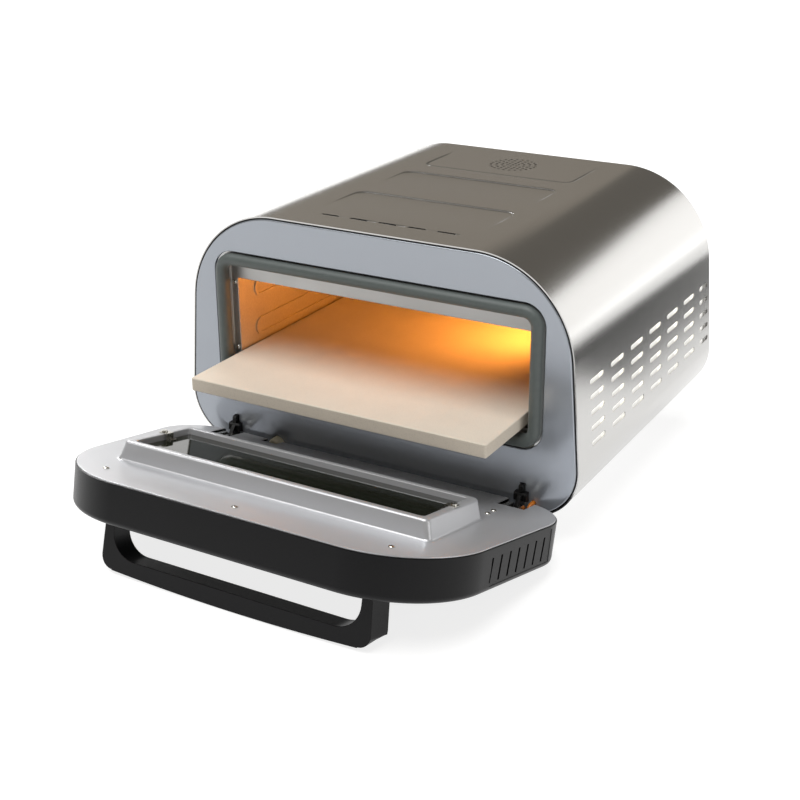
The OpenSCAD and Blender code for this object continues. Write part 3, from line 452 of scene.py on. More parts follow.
def rod(bm, start, end, radius, segments):
    """Cylinder between two points."""
    a, b = Vector(start), Vector(end)
    place = Matrix.Translation((a + b) / 2) @ facing(b - a)
    bmesh.ops.create_cone(bm, cap_ends=True, cap_tris=False, segments=segments, radius1=radius,
                          radius2=radius, depth=(b - a).length, matrix=place)


def slot_cutter(bm, centre, along, across, through, long, high, deep):
    """Long hole with round ends: two rods and a block between them."""
    half = (long - high) / 2
    for side in (-1, 1):
        middle = centre + along * side * half
        rod(bm, middle - through * deep / 2, middle + through * deep / 2, high / 2, 16)
    turn = Matrix((along, across, through)).transposed().to_4x4()
    place = Matrix.Translation(centre) @ turn @ Matrix.Diagonal((2 * half, high, deep, 1))
    bmesh.ops.create_cube(bm, size=1.0, matrix=place)


def bevel_sharp(bm, width, segments, angle):
    """Rounds every edge that is sharper than an angle."""
    edges = [e for e in bm.edges if e.is_manifold and e.calc_face_angle() > math.radians(angle)]
    bmesh.ops.bevel(bm, geom=edges, offset=width, affect="EDGES", segments=segments, profile=0.5,
                    material=-1, clamp_overlap=True)


def mesh_object(bm, name, place):
    """Writes a bmesh in its place to a new object at the origin."""
    bmesh.ops.transform(bm, matrix=place, verts=bm.verts)
    mesh = bpy.data.meshes.new(name)
    bm.to_mesh(mesh)
    bm.free()
    obj = bpy.data.objects.new(name, mesh)
    bpy.context.scene.collection.objects.link(obj)
    return obj


def baked(obj):
    """Turns an object's modifiers into its mesh."""
    bpy.context.view_layer.update()
    graph = bpy.context.evaluated_depsgraph_get()
    mesh = bpy.data.meshes.new_from_object(obj.evaluated_get(graph), depsgraph=graph)
    obj.modifiers.clear()
    obj.data = mesh
    return obj


def thickened(obj, sheet_mm):
    """Gives an open surface the thickness of its sheet, behind its faces."""
    thick = obj.modifiers.new("Sheet", "SOLIDIFY")
    thick.thickness = sheet_mm * MM
    thick.offset = -1
    return baked(obj)


def cut(obj, cutter_bm, place):
    """Takes the cutter's volume out of the object."""
    cutter = mesh_object(cutter_bm, obj.name + "_cutter", place)
    hole = obj.modifiers.new("Cut", "BOOLEAN")
    hole.operation = "DIFFERENCE"
    hole.solver = "EXACT"
    hole.use_self = True
    hole.object = cutter
    baked(obj)
    bpy.data.objects.remove(cutter)


def finish_piece(obj, finish, body, replaces=(), angle=32.0):
    """Shades a piece smoothly by face area, gives it its finish and sets it on its body."""
    mesh = obj.data
    mesh.shade_smooth()
    mesh.set_sharp_from_angle(angle=math.radians(angle))
    weigh = obj.modifiers.new("Weigh", "WEIGHTED_NORMAL")
    weigh.keep_sharp = True
    weigh.weight = 90
    baked(obj)
    obj.data.materials.clear()
    for name in [finish] if isinstance(finish, str) else finish:
        obj.data.materials.append(finish_of(name))
    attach(obj, body)
    if replaces:
        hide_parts(*replaces)
    return obj


def closed_bm(bm):
    """Merges doubles and turns every face outwards."""
    bmesh.ops.remove_doubles(bm, verts=bm.verts, dist=0.001)
    bmesh.ops.recalc_face_normals(bm, faces=bm.faces)
    return bm


# Body

# Pressed panels: thin end, deep end, half width, share of the pressing and of the groove round it
PRESSES = ((62.0, 132.5, 91.0, 1.0, 0.0), (162.0, 231.4, 91.0, 1.0, 0.0), (350.0, 261.5, 89.0, 0.35, 1.0))
PRESS_CORNER = 13.0
PRESS_EDGE = 2.4
GROOVE_RISE = 1.6
# Slots behind the front edge, each with a dimple at its right end
TOP_SLOTS = [(i - 2) * 32.0 for i in range(5)]
TOP_SLOT_Y = 36
TOP_SLOT_LONG, TOP_SLOT_HIGH, TOP_SLOT_SHIFT = 19.7, 3.2, 1.6
DIMPLE, DIMPLE_SHIFT, DIMPLE_SHARE = 2.9, 10.2, 0.8
# Spans across and along the top where the pressings and dimples need close points
FINE_ACROSS = [(-91.5, -77), (77, 91.5)] + [(x + 7, x + 13.4) for x in TOP_SLOTS]
FINE_ALONG = [(32.8, 39.2), (119, 133), (218, 232), (261, 275)]
# Where the sheet ends under the body, to each side of the middle
SHELL_END = 130.0
# Slots in the sides: rows and columns, the top row's height and the first column's depth
SIDE_ROWS, SIDE_COLUMNS = 5, 7
SIDE_TOP, SIDE_FIRST = 132, 32.9
# Steam holes in rings: their number and step, and their middle's distance from the rear edge
STEAM_RINGS, STEAM_STEP, STEAM_BACK, STEAM_RADIUS = 5, 6.2, 60.5, 1.5


def body_outline(inset, y):
    """Outline of the body at one depth, drawn inset inside itself."""
    s = bpy.context.scene.oven_body
    return leaning_arcs(s.half_width, BODY_HIGH, s.lean, s.low_radius, s.top_radius, inset), y


def mouth_outline(inset, y):
    """Outline of the fascia's opening at one depth, drawn inset inside itself."""
    m = bpy.context.scene.oven_mouth
    return rect_arcs(m.half_width, m.low, m.top, m.radius, inset), y


def pressed_depth(x, y, depth):
    """How deep the top is pressed at a point: the slots' dimples, and wedges with rounded corners."""
    for slot in TOP_SLOTS:
        out = math.hypot(x - slot - DIMPLE_SHIFT, y - TOP_SLOT_Y) / DIMPLE
        if out < 1:
            return DIMPLE_SHARE * depth * (1 - out * out)
    for thin, deep, half, press, groove in PRESSES:
        along = (y - thin) / (deep - thin)
        if abs(x) >= half or not 0 < along < 1:
            continue
        to_deep, to_side = abs(deep - y), half - abs(x)
        edge = min(to_deep, to_side)
        if max(to_deep, to_side) < PRESS_CORNER:
            edge = PRESS_CORNER - math.hypot(PRESS_CORNER - to_deep, PRESS_CORNER - to_side)
        t = min(1.0, max(0.0, edge) / PRESS_EDGE)
        ditch = max(0.0, 1 - abs(edge - PRESS_EDGE / 2) / (PRESS_EDGE / 2)) * min(1.0, GROOVE_RISE * along)
        return depth * (press * along * t * t * (3 - 2 * t) + groove * ditch)
    return 0.0


def fine_stops(low, high, spans, coarse=10.0, fine=0.8):
    """Values from low to high, close together inside the given spans."""
    stops, at = [low], low
    while at < high:
        ahead = [a for a, b in spans if a > at]
        inside = any(a <= at < b for a, b in spans)
        at = min([high, at + (fine if inside else coarse)] + ([] if inside else ahead))
        stops.append(at)
    return stops


def shell_path():
    """Points of the shell's outline, from its lower right end over the top to the lower left one."""
    low_right, top_right, top_left, low_left = body_outline(0.0, 0)[0]
    half = top_right[0]
    top = [(-v, BODY_HIGH) for v in fine_stops(-half, half, FINE_ACROSS)[1:-1]]
    right = outline([low_right], 20) + outline([top_right], 40)
    left = outline([top_left], 40) + outline([low_left], 20)
    return [(SHELL_END, 0.0)] + right + top + left + [(-SHELL_END, 0.0)]


def make_shell():
    """The bent steel shell: its outline drawn once, pulled back in steps, pressed and then cut."""
    s = bpy.context.scene.oven_body
    bm = bmesh.new()
    verts = [bm.verts.new((x, s.front, z)) for x, z in shell_path()]
    row = [bm.edges.new(pair) for pair in zip(verts, verts[1:])]
    stops = fine_stops(s.front, SHELL_DEPTH, FINE_ALONG)
    for before, y in zip(stops, stops[1:]):
        moved, row = pulled(bm, row)
        bmesh.ops.translate(bm, vec=(0, y - before, 0), verts=list(moved))
    for v in bm.verts:
        if v.co.z > BODY_HIGH - 0.01:
            v.co.z -= pressed_depth(v.co.x, v.co.y, s.press_depth)
    turn_faces(bm, lambda centre: centre.z, (0, 0, 1))
    bmesh.ops.solidify(bm, geom=bm.faces[:], thickness=s.sheet)
    shell = mesh_object(bm, "shell", BODY_PLACE)
    cut(shell, shell_cutters(s), BODY_PLACE)
    finish_piece(shell, "brushed_stainless", "root", ["outer_shell"], 48)


def shell_cutters(s):
    """Side slots, top slots and the steam holes."""
    bm = bmesh.new()
    x_axis, y_axis, z_axis = Vector((1, 0, 0)), Vector((0, 1, 0)), Vector((0, 0, 1))
    for row in range(SIDE_ROWS):
        z = SIDE_TOP - row * s.row_step
        x = s.half_width - s.lean * z
        for column in range(SIDE_COLUMNS):
            y = SIDE_FIRST + column * s.vent_step
            long = min(s.vent_length, SHELL_DEPTH - 6 - y)
            for side in (-1, 1):
                slot_cutter(bm, Vector((side * x, y + long / 2, z)), y_axis, z_axis, x_axis,
                            long, s.vent_height, 12)
    for x in TOP_SLOTS:
        slot_cutter(bm, Vector((x - TOP_SLOT_SHIFT, TOP_SLOT_Y, BODY_HIGH)), x_axis, y_axis, z_axis,
                    TOP_SLOT_LONG, TOP_SLOT_HIGH, 8)
    for n in range(STEAM_RINGS):
        holes = max(1, n * 6)
        for i in range(holes):
            a = 2 * math.pi * i / holes
            x = n * STEAM_STEP * math.sin(a)
            y = SHELL_DEPTH - STEAM_BACK + n * STEAM_STEP * math.cos(a)
            rod(bm, (x, y, BODY_HIGH - 6), (x, y, BODY_HIGH + 4), STEAM_RADIUS, 12)
    return bm


def make_fascia():
    """Front plate with rolled edges, cut for the hinge arms, the plunger and the lead."""
    roll, lip, behind = 1.1, 0.9, 3.0
    rows = [body_outline(FASCIA_INSET, behind)]
    rows += [body_outline(FASCIA_INSET + inset, y) for inset, y in quarter_round(roll, 4)]
    rows += [mouth_outline(-out, y) for out, y in reversed(quarter_round(lip, 4))]
    rows.append(mouth_outline(0, behind))
    bm = bmesh.new()
    loft(bm, rows, 40, closed=True)
    fascia = mesh_object(closed_bm(bm), "fascia_plate", BODY_PLACE)
    holes = bmesh.new()
    arm_x, arm_half = 165, 3
    for side in (-1, 1):
        block(holes, side * arm_x - arm_half, side * arm_x + arm_half, -5, 8, 4.5, 33)
    plunger_x, plunger_z, lead_x, lead_z = -114, 11, 176, 14.5
    rod(holes, (plunger_x, -5, plunger_z), (plunger_x, 8, plunger_z), 8.5, 32)
    rod(holes, (lead_x, -5, lead_z), (lead_x, 8, lead_z), 3.0, 20)
    cut(fascia, holes, BODY_PLACE)
    finish_piece(fascia, "fascia_coat", "root", ["fascia"], 40)


def make_trim():
    """Dark trim between the fascia and the shell's edge."""
    sheet = bpy.context.scene.oven_body.sheet
    front, back, outer, inner = 1.6, 5.0, 0.02, 1.58
    bm = bmesh.new()
    loft(bm, [body_outline(sheet + inset, y) for y, inset in
              ((back, outer), (front, outer), (front, inner), (back, inner))], 40, closed=True)
    trim = mesh_object(closed_bm(bm), "fascia_trim_ring", BODY_PLACE)
    finish_piece(trim, "moulded_abs", "root", ["fascia_trim"])


def make_throat():
    """Steel ledge, throat and lip of the mouth, from the fascia's opening inwards."""
    # Half width, underside, top and corner radius
    throat = (173.0, 77.0, 200.5, 12.0)
    lip = (165.0, 82.0, 178.7, 1.5)
    rows = [mouth_outline(1.0, 6.1)]
    rows += [(rect_arcs(*throat, -out), y) for out, y in
             ((1.0, 6.1), (0.3, 6.4), (0.0, 7.1), (0.0, 13.0), (-0.3, 13.7), (-1.0, 14.05))]
    rows += [(rect_arcs(*lip, -out), y) for out, y in ((0.6, 14.05), (0.1, 14.3), (0.0, 15.15))]
    bm = bmesh.new()
    loft(bm, rows)
    turn_faces(bm, lambda centre: centre.z, (0, -1, 0))
    piece = thickened(mesh_object(bm, "mouth_throat", BODY_PLACE), 0.9)
    finish_piece(piece, "rolled_stainless", "root", ["mouth_frame"], 50)


def make_seal():
    """Door seal round the mouth, with a half-round front."""
    m = bpy.context.scene.oven_mouth
    half = m.seal_width / 2
    front = m.seal_out - half

    def around(inset, y):
        return mouth_outline(2.0 + inset, y)

    rows = [around(0.6, 5.9), around(0.0, 5.0), around(0.0, -front)]
    for i in range(1, 12):
        a = math.pi * i / 12
        rows.append(around(half - half * math.cos(a), -front - half * math.sin(a)))
    rows += [around(2 * half, -front), around(2 * half, 5.0), around(2 * half - 0.6, 5.9)]
    bm = bmesh.new()
    loft(bm, rows, 20, closed=True)
    seal = mesh_object(closed_bm(bm), "door_seal", BODY_PLACE)
    finish_piece(seal, "silicone", "root", ["door_gasket"], 60)


def make_stone():
    """Pressed stone with softly rounded edges and corners, drawn upright and laid flat."""
    _, y0, z0, x1, y1, z1 = [c / MM for c in (*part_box("pizza_stone")[0], *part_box("pizza_stone")[1])]
    corner, rounded = 2.5, quarter_round(1.2, 5)

    def level(inset, z):
        return rect_arcs(x1, y0, y1, corner, inset), -z

    rows = [level(inset, z0 + rise) for rise, inset in rounded]
    rows += [level(inset, z1 - rise) for rise, inset in reversed(rounded)]
    bm = bmesh.new()
    loft(bm, rows, 8, front=True, back=True)
    lay_flat = Matrix.Scale(MM, 4) @ Matrix.Rotation(math.radians(-90), 4, "X")
    stone = mesh_object(closed_bm(bm), "baking_stone", lay_flat)
    finish_piece(stone, "cordierite", "stone", ["pizza_stone"], 40)


# Door

LINER_SCREWS = ((-150.0, 220.5), (150.0, 220.5), (0.0, 229.3))
HINGE_SCREWS = ((162.7, 54.6), (162.7, 67.4))
# How far the raised frame draws in up to its crest: at its sides, its lower and its upper edge
DRAFT_SIDE, DRAFT_LOW, DRAFT_TOP = 5.3, 1.2, 2.0


def door_outline(inset, y):
    """Outline of the door's cover at one depth."""
    d = bpy.context.scene.oven_door
    return leaning_arcs(d.half_width, d.height, d.lean, d.low_radius, d.top_radius, inset), y


def pan_outline(inset, y):
    """Outline at one depth of the pan inside the raised frame, where the glass lies."""
    d = bpy.context.scene.oven_door
    return rect_arcs(d.frame_half - DRAFT_SIDE - d.rim, d.frame_low + DRAFT_LOW + d.rim,
                     d.frame_top - DRAFT_TOP - d.rim, 3.0, inset), y


def notch_cutters():
    """Room for the two hinges, the lead and the plunger at the hinge end."""
    bm = bmesh.new()
    block(bm, 153, 181, -19, 4, -6, 28.5)
    block(bm, -177, -153, -19, 4, -6, 28.5)
    block(bm, -124, -104, -17, 4, -6, 14)
    return bm


def cover_cutters(d):
    """The notches, slanted slots in a shallow field on each side, and the control strip's seat."""
    bm = notch_cutters()
    slant = Matrix.Rotation(math.radians(-6.5), 4, "X")
    slot_x, slot_reach, slot_half, slot_first, slot_step = 213, 16, 1.4, 63.4, 14.93
    field_z, field_half, field_deep = 102.5, 52, 0.5
    field_x = d.half_width - d.lean * field_z
    for side in (-1, 1):
        for i in range(7):
            z = slot_first + i * slot_step
            block(bm, side * slot_x - slot_reach, side * slot_x + slot_reach, -32, -10,
                  z - slot_half, z + slot_half, slant)
        tilt = Matrix.Rotation(-side * math.atan(d.lean), 4, "Y")
        block(bm, side * field_x - field_deep, side * field_x + field_deep, -35, -4,
              field_z - field_half, field_z + field_half, tilt)
    block(bm, -112, 112, -d.depth - 2, -d.depth + 0.8, 22, 60)
    return bm


def make_cover():
    """Moulded cover of the door: rounded front edge, window opening, slots and notches."""
    d = bpy.context.scene.oven_door
    rows = [door_outline(d.wall, -1.06), door_outline(0.7, -1.06), door_outline(0.2, -1.3),
            door_outline(0.0, -1.9)]
    rows += [door_outline(inset, -d.depth + rise) for inset, rise in quarter_round(d.edge_radius, 8)]
    half, low, top = d.frame_half - 3.3, d.frame_low + DRAFT_LOW, d.frame_top - DRAFT_TOP
    rows += [(rect_arcs(half, low, top, 12, -out), y - d.depth)
             for out, y in ((0.8, 0), (0, 0.8), (0, d.wall))]
    rows.append(door_outline(d.wall, -d.depth + d.wall))
    bm = bmesh.new()
    loft(bm, rows, 36, closed=True)
    closed_bm(bm)
    # The hinge end slopes up towards the door's front
    slope_from, slope_rise = 8, 6.2
    for v in bm.verts:
        reach = max(0.0, -v.co.y - slope_from)
        if v.co.z < d.low_radius and reach:
            v.co.z += slope_rise * reach / (d.depth - slope_from) * (1 - v.co.z / d.low_radius)
    cover = mesh_object(bm, "door_shell", DOOR_PLACE)
    cut(cover, cover_cutters(d), DOOR_PLACE)
    finish_piece(cover, "moulded_abs", "door", ["door_cover"], 35)


def make_liner():
    """Pressed liner with its raised window frame and the pan that carries the glass."""
    d = bpy.context.scene.oven_door
    high, seat = d.frame_high, d.glass_depth

    def frame_row(inset, y):
        share = min(1.0, max(0.0, y / high))
        return rect_arcs(d.frame_half - DRAFT_SIDE * share, d.frame_low + DRAFT_LOW * share,
                         d.frame_top - DRAFT_TOP * share, 6.0, inset), y

    rounded = quarter_round(2.6, 5)
    rows = [door_outline(inset, y) for inset, y in ((1.3, -0.95), (1.3, -0.55), (1.5, -0.15), (2.0, 0.0))]
    rows += [frame_row(-out, rise * 0.9) for rise, out in rounded]
    rows += [frame_row(inset, high - drop) for inset, drop in rounded]
    rows += [pan_outline(inset, y) for inset, y in (
        (-1.4, high), (-0.5, high - 0.3), (0.0, high - 1.2), (0.0, seat - 0.2),
        (0.6, seat - 1.0), (7.0, seat - 1.0))]
    bm = bmesh.new()
    loft(bm, rows, 36)
    # The flat beyond the frame faces the oven when the door is shut
    turn_faces(bm, lambda centre: -(abs(centre.z - 220) + abs(centre.y)), (0, 1, 0))
    liner = thickened(mesh_object(bm, "door_inner_panel", DOOR_PLACE), 0.9)
    cut(liner, notch_cutters(), DOOR_PLACE)
    finish_piece(liner, "silver_paint", "door", ["door_liner"], 42)


def make_window():
    """Inner glass with its fired black border."""
    y0 = bpy.context.scene.oven_door.glass_depth
    y1 = y0 + 4
    rows = [pan_outline(inset, y) for inset, y in
            ((0.9, y0), (0.4, y0 + 0.5), (0.4, y1 - 0.5), (0.9, y1), (6.5, y1))]
    bm = bmesh.new()
    loft(bm, rows, 8, front=True, back=True)
    closed_bm(bm)
    for face in bm.faces:
        clear = len(face.verts) > 8 and face.calc_center_median().y > y1 - 0.01
        face.material_index = 0 if clear else 1
    glass = mesh_object(bm, "inner_window_glass", DOOR_PLACE)
    finish_piece(glass, ["tinted_glass", "black_enamel"], "door", ["inner_glass"], 30)


HANDLE_CORNER = 13.0
HANDLE_SLANT = 13
LEG_LEAN, LEG_FLARE = 4.0, 3.0


def handle_side(h, inner):
    """Side view of the handle: bowed outer line, two legs and the opening up to the bar's inner side."""
    corner, r = HANDLE_CORNER, h.inner_radius
    corner_x, corner_z = h.half_width - corner, h.out - h.bow + 0.35 - corner
    bow_radius = (h.half_width ** 2 + h.bow ** 2) / (2 * h.bow)
    bow_angle = math.degrees(math.asin(corner_x / bow_radius))
    bow = (0, h.out - bow_radius, bow_radius, 90 + bow_angle * 0.97, 90 - bow_angle * 0.97)
    path = outline([(-corner_x, corner_z, corner, 180, 90 + bow_angle)], 6)
    path += outline([bow], 24)
    path += outline([(corner_x, corner_z, corner, 90 - bow_angle, 0)], 6)
    path += [(h.half_width, 0.0), (h.grip_half, 0.0)]
    path += outline([(h.grip_half - r, inner - r, r, 0, 90), (-h.grip_half + r, inner - r, r, 90, 180)], 10)
    return path + [(-h.grip_half, 0.0), (-h.half_width, 0.0)]


def make_handle():
    """Bow handle: its side view drawn with arcs, pulled across, slanted and rounded."""
    h, d = bpy.context.scene.oven_handle, bpy.context.scene.oven_door
    inner = h.out - h.bar - 0.4 * h.bow + 1
    bm = bmesh.new()
    verts = [bm.verts.new((x, -d.depth - 0.06 - z, h.low)) for x, z in handle_side(h, inner)]
    made = bmesh.ops.extrude_face_region(bm, geom=[bm.faces.new(verts)])["geom"]
    moved = [g for g in made if isinstance(g, bmesh.types.BMVert)]
    bmesh.ops.translate(bm, vec=(0, 0, h.width), verts=moved)
    slant = math.tan(math.radians(HANDLE_SLANT))
    for v in bm.verts:
        up = (v.co.z - h.low) / h.width
        out = -d.depth - v.co.y
        if out > inner + 3:
            v.co.y += (1 - up) * h.width * slant
        if abs(v.co.x) > h.grip_half + 1:
            flare = LEG_FLARE * (1 - min(1.0, out / h.out))
            v.co.x -= math.copysign(LEG_LEAN * up + flare, v.co.x)
    closed_bm(bm)
    bevel_sharp(bm, h.edge, 6, 50)
    handle = mesh_object(bm, "bow_handle", DOOR_PLACE)
    finish_piece(handle, "moulded_abs", "door", ["handle"], 35)


def screw_head(bm, centre, axis, diameter, high):
    """Pan head with a domed top, standing on centre along axis."""
    place = Matrix.Translation(centre) @ facing(axis)
    r = diameter / 2
    points = ((0, 0, 0), (r, 0, 0), (r, 0, high * 0.35), (r * 0.85, 0, high * 0.75),
              (r * 0.5, 0, high * 0.97), (0, 0, high))
    profile = [bm.verts.new(place @ Vector(p)) for p in points]
    edges = [bm.edges.new(p) for p in zip(profile, profile[1:])]
    bmesh.ops.spin(bm, geom=profile + edges, cent=centre, axis=axis, angle=2 * math.pi, steps=20,
                   use_merge=True)


def cross_cutter(bm, centre, axis, diameter, high):
    """Two crossed bars that cut the recess of a screw head."""
    turn = facing(axis)
    top = centre + axis * high
    for a in (20, 110):
        place = (Matrix.Translation(top) @ turn @ Matrix.Rotation(math.radians(a), 4, "Z")
                 @ Matrix.Diagonal((diameter * 0.62, diameter * 0.13, high * 1.1, 1)))
        bmesh.ops.create_cube(bm, size=1.0, matrix=place)


def make_screws(name, places, axis, diameter, high, place, body, replaces, shank):
    """A set of like screws, each with its recess and a plain shank."""
    axis = Vector(axis)
    places = [Vector(centre) for centre in places]
    bm, holes = bmesh.new(), bmesh.new()
    for centre in places:
        screw_head(bm, centre, axis, diameter, high)
        cross_cutter(holes, centre, axis, diameter, high)
    obj = mesh_object(closed_bm(bm), name, place)
    cut(obj, holes, place)
    # The shanks come after the cut, as closed pieces of their own
    bm = bmesh.new()
    bm.from_mesh(obj.data)
    bmesh.ops.transform(bm, matrix=place.inverted(), verts=bm.verts)
    for centre in places:
        rod(bm, centre + axis * 0.05, centre - axis * shank, diameter * 0.24, 12)
    bmesh.ops.transform(bm, matrix=place, verts=bm.verts)
    bm.to_mesh(obj.data)
    bm.free()
    finish_piece(obj, "zinc_plate", body, replaces, 30)


def make_fasteners():
    """Screws on the liner, at the hinges and at the mouth's lip."""
    sides = (-1, 1)
    into, out_of = (0, 1, 0), (0, -1, 0)
    make_screws("liner_screw_set", [(x, 0.05, z) for x, z in LINER_SCREWS], into, 6, 1.2,
                DOOR_PLACE, "door", ["liner_screws"], 12)
    make_screws("hinge_screw_set", [(s * x, 0.05, z) for x, z in HINGE_SCREWS for s in sides],
                into, 5.6, 1.3, DOOR_PLACE, "door", ["hinge_screws"], 6)
    make_screws("lip_screw_set", [(s * 169, 14, z) for z in (103, 174) for s in sides],
                out_of, 5, 1.5, BODY_PLACE, "root", ["mouth_screws"], 5.9)


# Finishes of the nodes that stay

NODE_FINISH = {
    "aluminised_steel": ["cavity_left_wall", "cavity_right_wall", "cavity_roof", "cavity_floor",
                         "cavity_back"],
    "rolled_stainless": ["stone_rail_left", "stone_rail_right", "oven_lamp", "bottom_plate",
                         "back_panel", "hinge_brackets"],
    "zinc_plate": ["heater_holders", "temperature_probe", "board_pillars", "back_screws",
                   "bottom_screws", "foot_screws", "hinge_rivets", "hinge_pins", "hinge_leaves",
                   "glass_clips", "clip_screws", "handle_screws"],
    "element_sheath": ["upper_heater", "lower_heater"],
    "lamp_glass": ["lamp_lens"],
    "moulded_abs": ["thermal_cutout", "cord_gland", "switch_housing"],
    "blanket": ["insulation_top", "insulation_back", "insulation_bottom"],
    # The side blankets carry a painted glow, so that the slots show white
    "slot_blanket_painted_glow": ["insulation_left", "insulation_right"],
    "board": ["power_board", "control_board"],
    "ivory_nylon": ["terminal_block", "door_switch_plunger"],
    "rubber": ["feet", "glass_seal"],
    # The vent duct gets the dark black oxide as painted shade, so that the steam holes above it read dark
    "black_oxide": ["hinge_arm_left", "hinge_arm_right", "window_tunnel", "vent_duct"],
    "amber_sleeve": ["door_lead"],
    "tinted_glass": ["outer_glass", "control_strip"],
}


def dress_nodes():
    """Gives every node that is still shown its finish."""
    for finish, nodes in NODE_FINISH.items():
        for name in nodes:
            obj = frame["nodes"][name]
            obj.data.materials.clear()
            obj.data.materials.append(finish_of(finish))


# Studio

CAMERA_PLACE = Vector((655.96, -1077.36, 617.21))
CAMERA_AZIMUTH, CAMERA_ELEVATION, CAMERA_ROLL = 30.067, 22.960, -0.347
CAMERA_LENS = 63.01

# Softboxes: azimuth from the back towards the right and elevation in degrees; distance, width and
# height in metres; radiance and colour
CARDS = (
    ("back_right_wall", 27, 10, 2.4, 1.2, 1.0, 1.5, "#FFFFFF"),
    ("back_left_wall", -37, -0.2, 5.2, 2.8, 0.9, 1.15, "#FFFFFF"),
    ("back_left_warm", -27, 19, 3.4, 1.5, 0.9, 0.17, "#FFF0DC"),
    ("left_key", -55, 26, 3.0, 0.8, 0.8, 18.0, "#FFFFFF"),
    ("right_fill", 92, 18, 2.2, 1.0, 0.7, 2.6, "#FFFFFF"),
)
CARD_AIM = Vector((0, 0, 0.17))
FLOOR_SIZE = 40
# Extent of the dark board that lies at the back right, in metres
BOARD = (0.37, 1.8, 0.42, 1.20, 0.0005, 0.002)


def make_camera():
    """Camera recovered from the photograph: 30 degrees to the right and 23 above."""
    az, el, roll = (math.radians(v) for v in (CAMERA_AZIMUTH, CAMERA_ELEVATION, CAMERA_ROLL))
    back = Vector((math.sin(az) * math.cos(el), -math.cos(az) * math.cos(el), math.sin(el)))
    right = Vector((math.cos(az), math.sin(az), 0))
    up = back.cross(right)
    turned_right = math.cos(roll) * right + math.sin(roll) * up
    turned_up = math.cos(roll) * up - math.sin(roll) * right
    data = bpy.data.cameras.new("camera")
    data.sensor_width = 36
    data.lens = CAMERA_LENS
    data.clip_end = 50
    camera = bpy.data.objects.new("camera", data)
    turn = Matrix((turned_right, turned_up, back)).transposed().to_4x4()
    camera.matrix_world = Matrix.Translation(BODY_PLACE @ CAMERA_PLACE) @ turn
    bpy.context.scene.collection.objects.link(camera)
    bpy.context.scene.camera = camera


def add_lamp(kind, name, energy, tone="#FFFFFF", place=(0, 0, 0), towards=(0, 0, -1)):
    """Light of one kind at a place in metres, shining in a direction."""
    data = bpy.data.lights.new(name, kind)
    data.energy = energy
    data.color = linear(tone)[:3]
    lamp = bpy.data.objects.new(name, data)
    lamp.location = place
    lamp.rotation_euler = Vector(towards).to_track_quat("-Z", "Y").to_euler()
    bpy.context.scene.collection.objects.link(lamp)
    return lamp


def card(name, azimuth, elevation, distance, width, height, radiance, tone):
    """Softbox that faces the object from round it."""
    a, e = math.radians(azimuth), math.radians(elevation)
    away = Vector((math.sin(a) * math.cos(e), math.cos(a) * math.cos(e), math.sin(e))) * distance
    lamp = add_lamp("AREA", name, radiance * math.pi * width * height, tone, away + CARD_AIM, -away)
    lamp.data.shape = "RECTANGLE"
    lamp.data.size, lamp.data.size_y = width, height


def make_ground(studio):
    """Lit floor, and the dark board that shows only in reflections."""
    bm = bmesh.new()
    bmesh.ops.create_grid(bm, x_segments=1, y_segments=1, size=FLOOR_SIZE)
    floor = mesh_object(bm, "floor", Matrix())
    # Opal acrylic lit from below: even and without texture, so that it reads as white paper
    glow = {"Emission Color": linear("#FFFFFF"), "Emission Strength": studio.floor_glow}
    floor.data.materials.append(
        grained("Acrylic_opal_backlit", studio.floor, 0.0, 0.9, (40, 40, 40), 0.004, 0.0, glow))
    bm = bmesh.new()
    block(bm, *BOARD)
    board = mesh_object(bm, "dark_board", Matrix())
    # Matt black card: gives the shell's side its dark strip
    board.data.materials.append(
        grained("Card_black_matt", "#101010", 0.0, 0.9, (40, 40, 40), 0.02, 0.0))
    board.visible_camera = board.visible_diffuse = board.visible_shadow = False


def make_lights(studio):
    """Room light, the scrim overhead, the softboxes and the lamps in the cavity."""
    world = bpy.data.worlds.new("room")
    world.use_nodes = True
    background = world.node_tree.nodes["Background"]
    background.inputs["Color"].default_value = linear("#FFF6E8")
    background.inputs["Strength"].default_value = studio.ambient
    bpy.context.scene.world = world
    scrim = add_lamp("SUN", "overhead_scrim", studio.scrim, towards=(0.12, 0.30, -1.0))
    scrim.data.angle = math.radians(50)
    for values in CARDS:
        card(*values)
    wall = add_lamp("AREA", "cavity_wall_glow", studio.lamp, "#FFA040",
                    BODY_PLACE @ Vector((120, 190, 172)), (-1, 0, -0.05))
    wall.data.size = 0.05
    spot = add_lamp("POINT", "cavity_lamp_glow", studio.lamp * 0.02, "#FF9830",
                    BODY_PLACE @ Vector((150, 296, 182)))
    spot.data.shadow_soft_size = 0.012


def make_stage():
    """Camera, floor and lights."""
    studio = bpy.context.scene.oven_studio
    make_camera()
    make_ground(studio)
    make_lights(studio)


# Operators

def built(*makers):
    """Calls an operator's makers in turn and gives what Blender expects back."""
    for make in makers:
        make()
    return {"FINISHED"}


class OVEN_OT_shell(bpy.types.Operator):
    """Build the brushed steel shell"""
    bl_idname = "oven.shell"
    bl_label = "Shell"

    def execute(self, context):
        return built(make_shell)


class OVEN_OT_fascia(bpy.types.Operator):
    """Build the fascia and its dark trim"""
    bl_idname = "oven.fascia"
    bl_label = "Fascia and trim"

    def execute(self, context):
        return built(make_fascia, make_trim)


class OVEN_OT_mouth(bpy.types.Operator):
    """Build the throat of the mouth and the door seal"""
    bl_idname = "oven.mouth"
    bl_label = "Mouth and seal"

    def execute(self, context):
        return built(make_throat, make_seal)


class OVEN_OT_stone(bpy.types.Operator):
    """Build the baking stone"""
    bl_idname = "oven.stone"
    bl_label = "Stone"

    def execute(self, context):
        return built(make_stone)


class OVEN_OT_cover(bpy.types.Operator):
    """Build the door's moulded cover"""
    bl_idname = "oven.cover"
    bl_label = "Door cover"

    def execute(self, context):
        return built(make_cover)


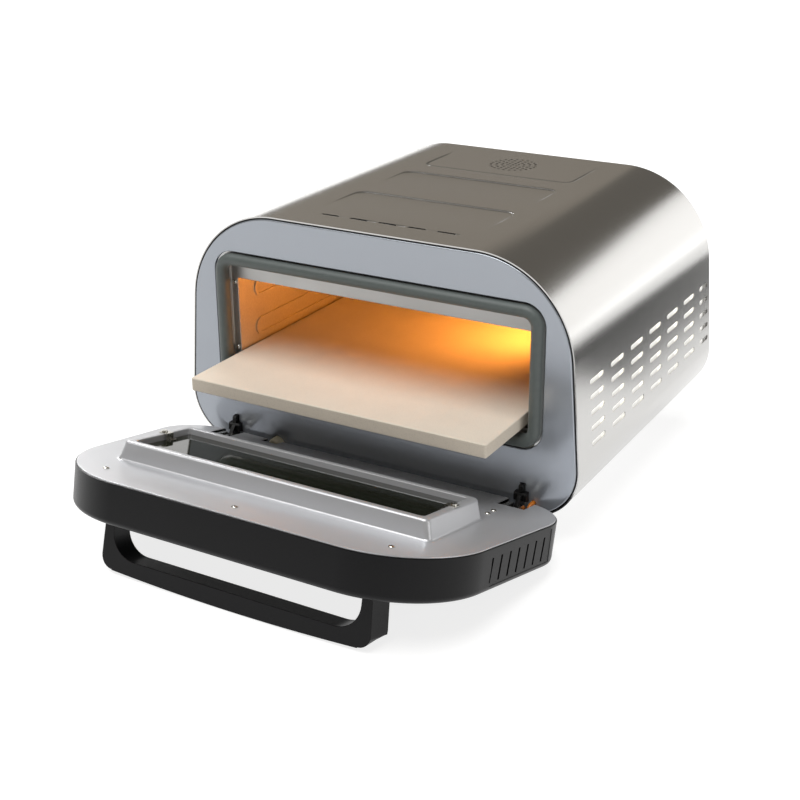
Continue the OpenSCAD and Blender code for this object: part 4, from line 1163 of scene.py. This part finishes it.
class OVEN_OT_liner(bpy.types.Operator):
    """Build the door's pressed liner"""
    bl_idname = "oven.liner"
    bl_label = "Door liner"

    def execute(self, context):
        return built(make_liner)


class OVEN_OT_window(bpy.types.Operator):
    """Build the inner window glass"""
    bl_idname = "oven.window"
    bl_label = "Window glass"

    def execute(self, context):
        return built(make_window)


class OVEN_OT_handle(bpy.types.Operator):
    """Build the bow handle"""
    bl_idname = "oven.handle"
    bl_label = "Handle"

    def execute(self, context):
        return built(make_handle)


class OVEN_OT_fasteners(bpy.types.Operator):
    """Build the visible screws"""
    bl_idname = "oven.fasteners"
    bl_label = "Screws"

    def execute(self, context):
        return built(make_fasteners)


class OVEN_OT_nodes(bpy.types.Operator):
    """Give the nodes that stay their finishes"""
    bl_idname = "oven.nodes"
    bl_label = "Inner parts' finishes"

    def execute(self, context):
        return built(dress_nodes)


class OVEN_OT_stage(bpy.types.Operator):
    """Set up the floor, the lights and the camera"""
    bl_idname = "oven.stage"
    bl_label = "Studio"

    def execute(self, context):
        return built(make_stage)


OPERATORS = (OVEN_OT_shell, OVEN_OT_fascia, OVEN_OT_mouth, OVEN_OT_stone, OVEN_OT_cover, OVEN_OT_liner,
             OVEN_OT_window, OVEN_OT_handle, OVEN_OT_fasteners, OVEN_OT_nodes, OVEN_OT_stage)


class OVEN_PT_panel(bpy.types.Panel):
    """Lists the pieces of the pizza maker"""
    bl_idname = "OVEN_PT_panel"
    bl_label = "Pizza maker"
    bl_space_type = "VIEW_3D"
    bl_region_type = "UI"
    bl_category = "Pizza maker"

    def draw(self, context):
        for operator in OPERATORS:
            self.layout.operator(operator.bl_idname)


GROUPS = {"oven_body": BodySizes, "oven_mouth": MouthSizes, "oven_door": DoorSizes,
          "oven_handle": HandleSizes, "oven_finishes": Finishes, "oven_studio": Studio}
CLASSES = tuple(GROUPS.values()) + OPERATORS + (OVEN_PT_panel,)


def register():
    for made in CLASSES:
        bpy.utils.register_class(made)
    for name, group in GROUPS.items():
        setattr(bpy.types.Scene, name, bpy.props.PointerProperty(type=group))


def unregister():
    for name in GROUPS:
        delattr(bpy.types.Scene, name)
    for made in reversed(CLASSES):
        bpy.utils.unregister_class(made)


def main():
    register()
    for operator in OPERATORS:
        group, name = operator.bl_idname.split(".")
        getattr(getattr(bpy.ops, group), name)()
    bpy.context.scene.view_settings.view_transform = "Standard"


if __name__ == "__main__":
    main()
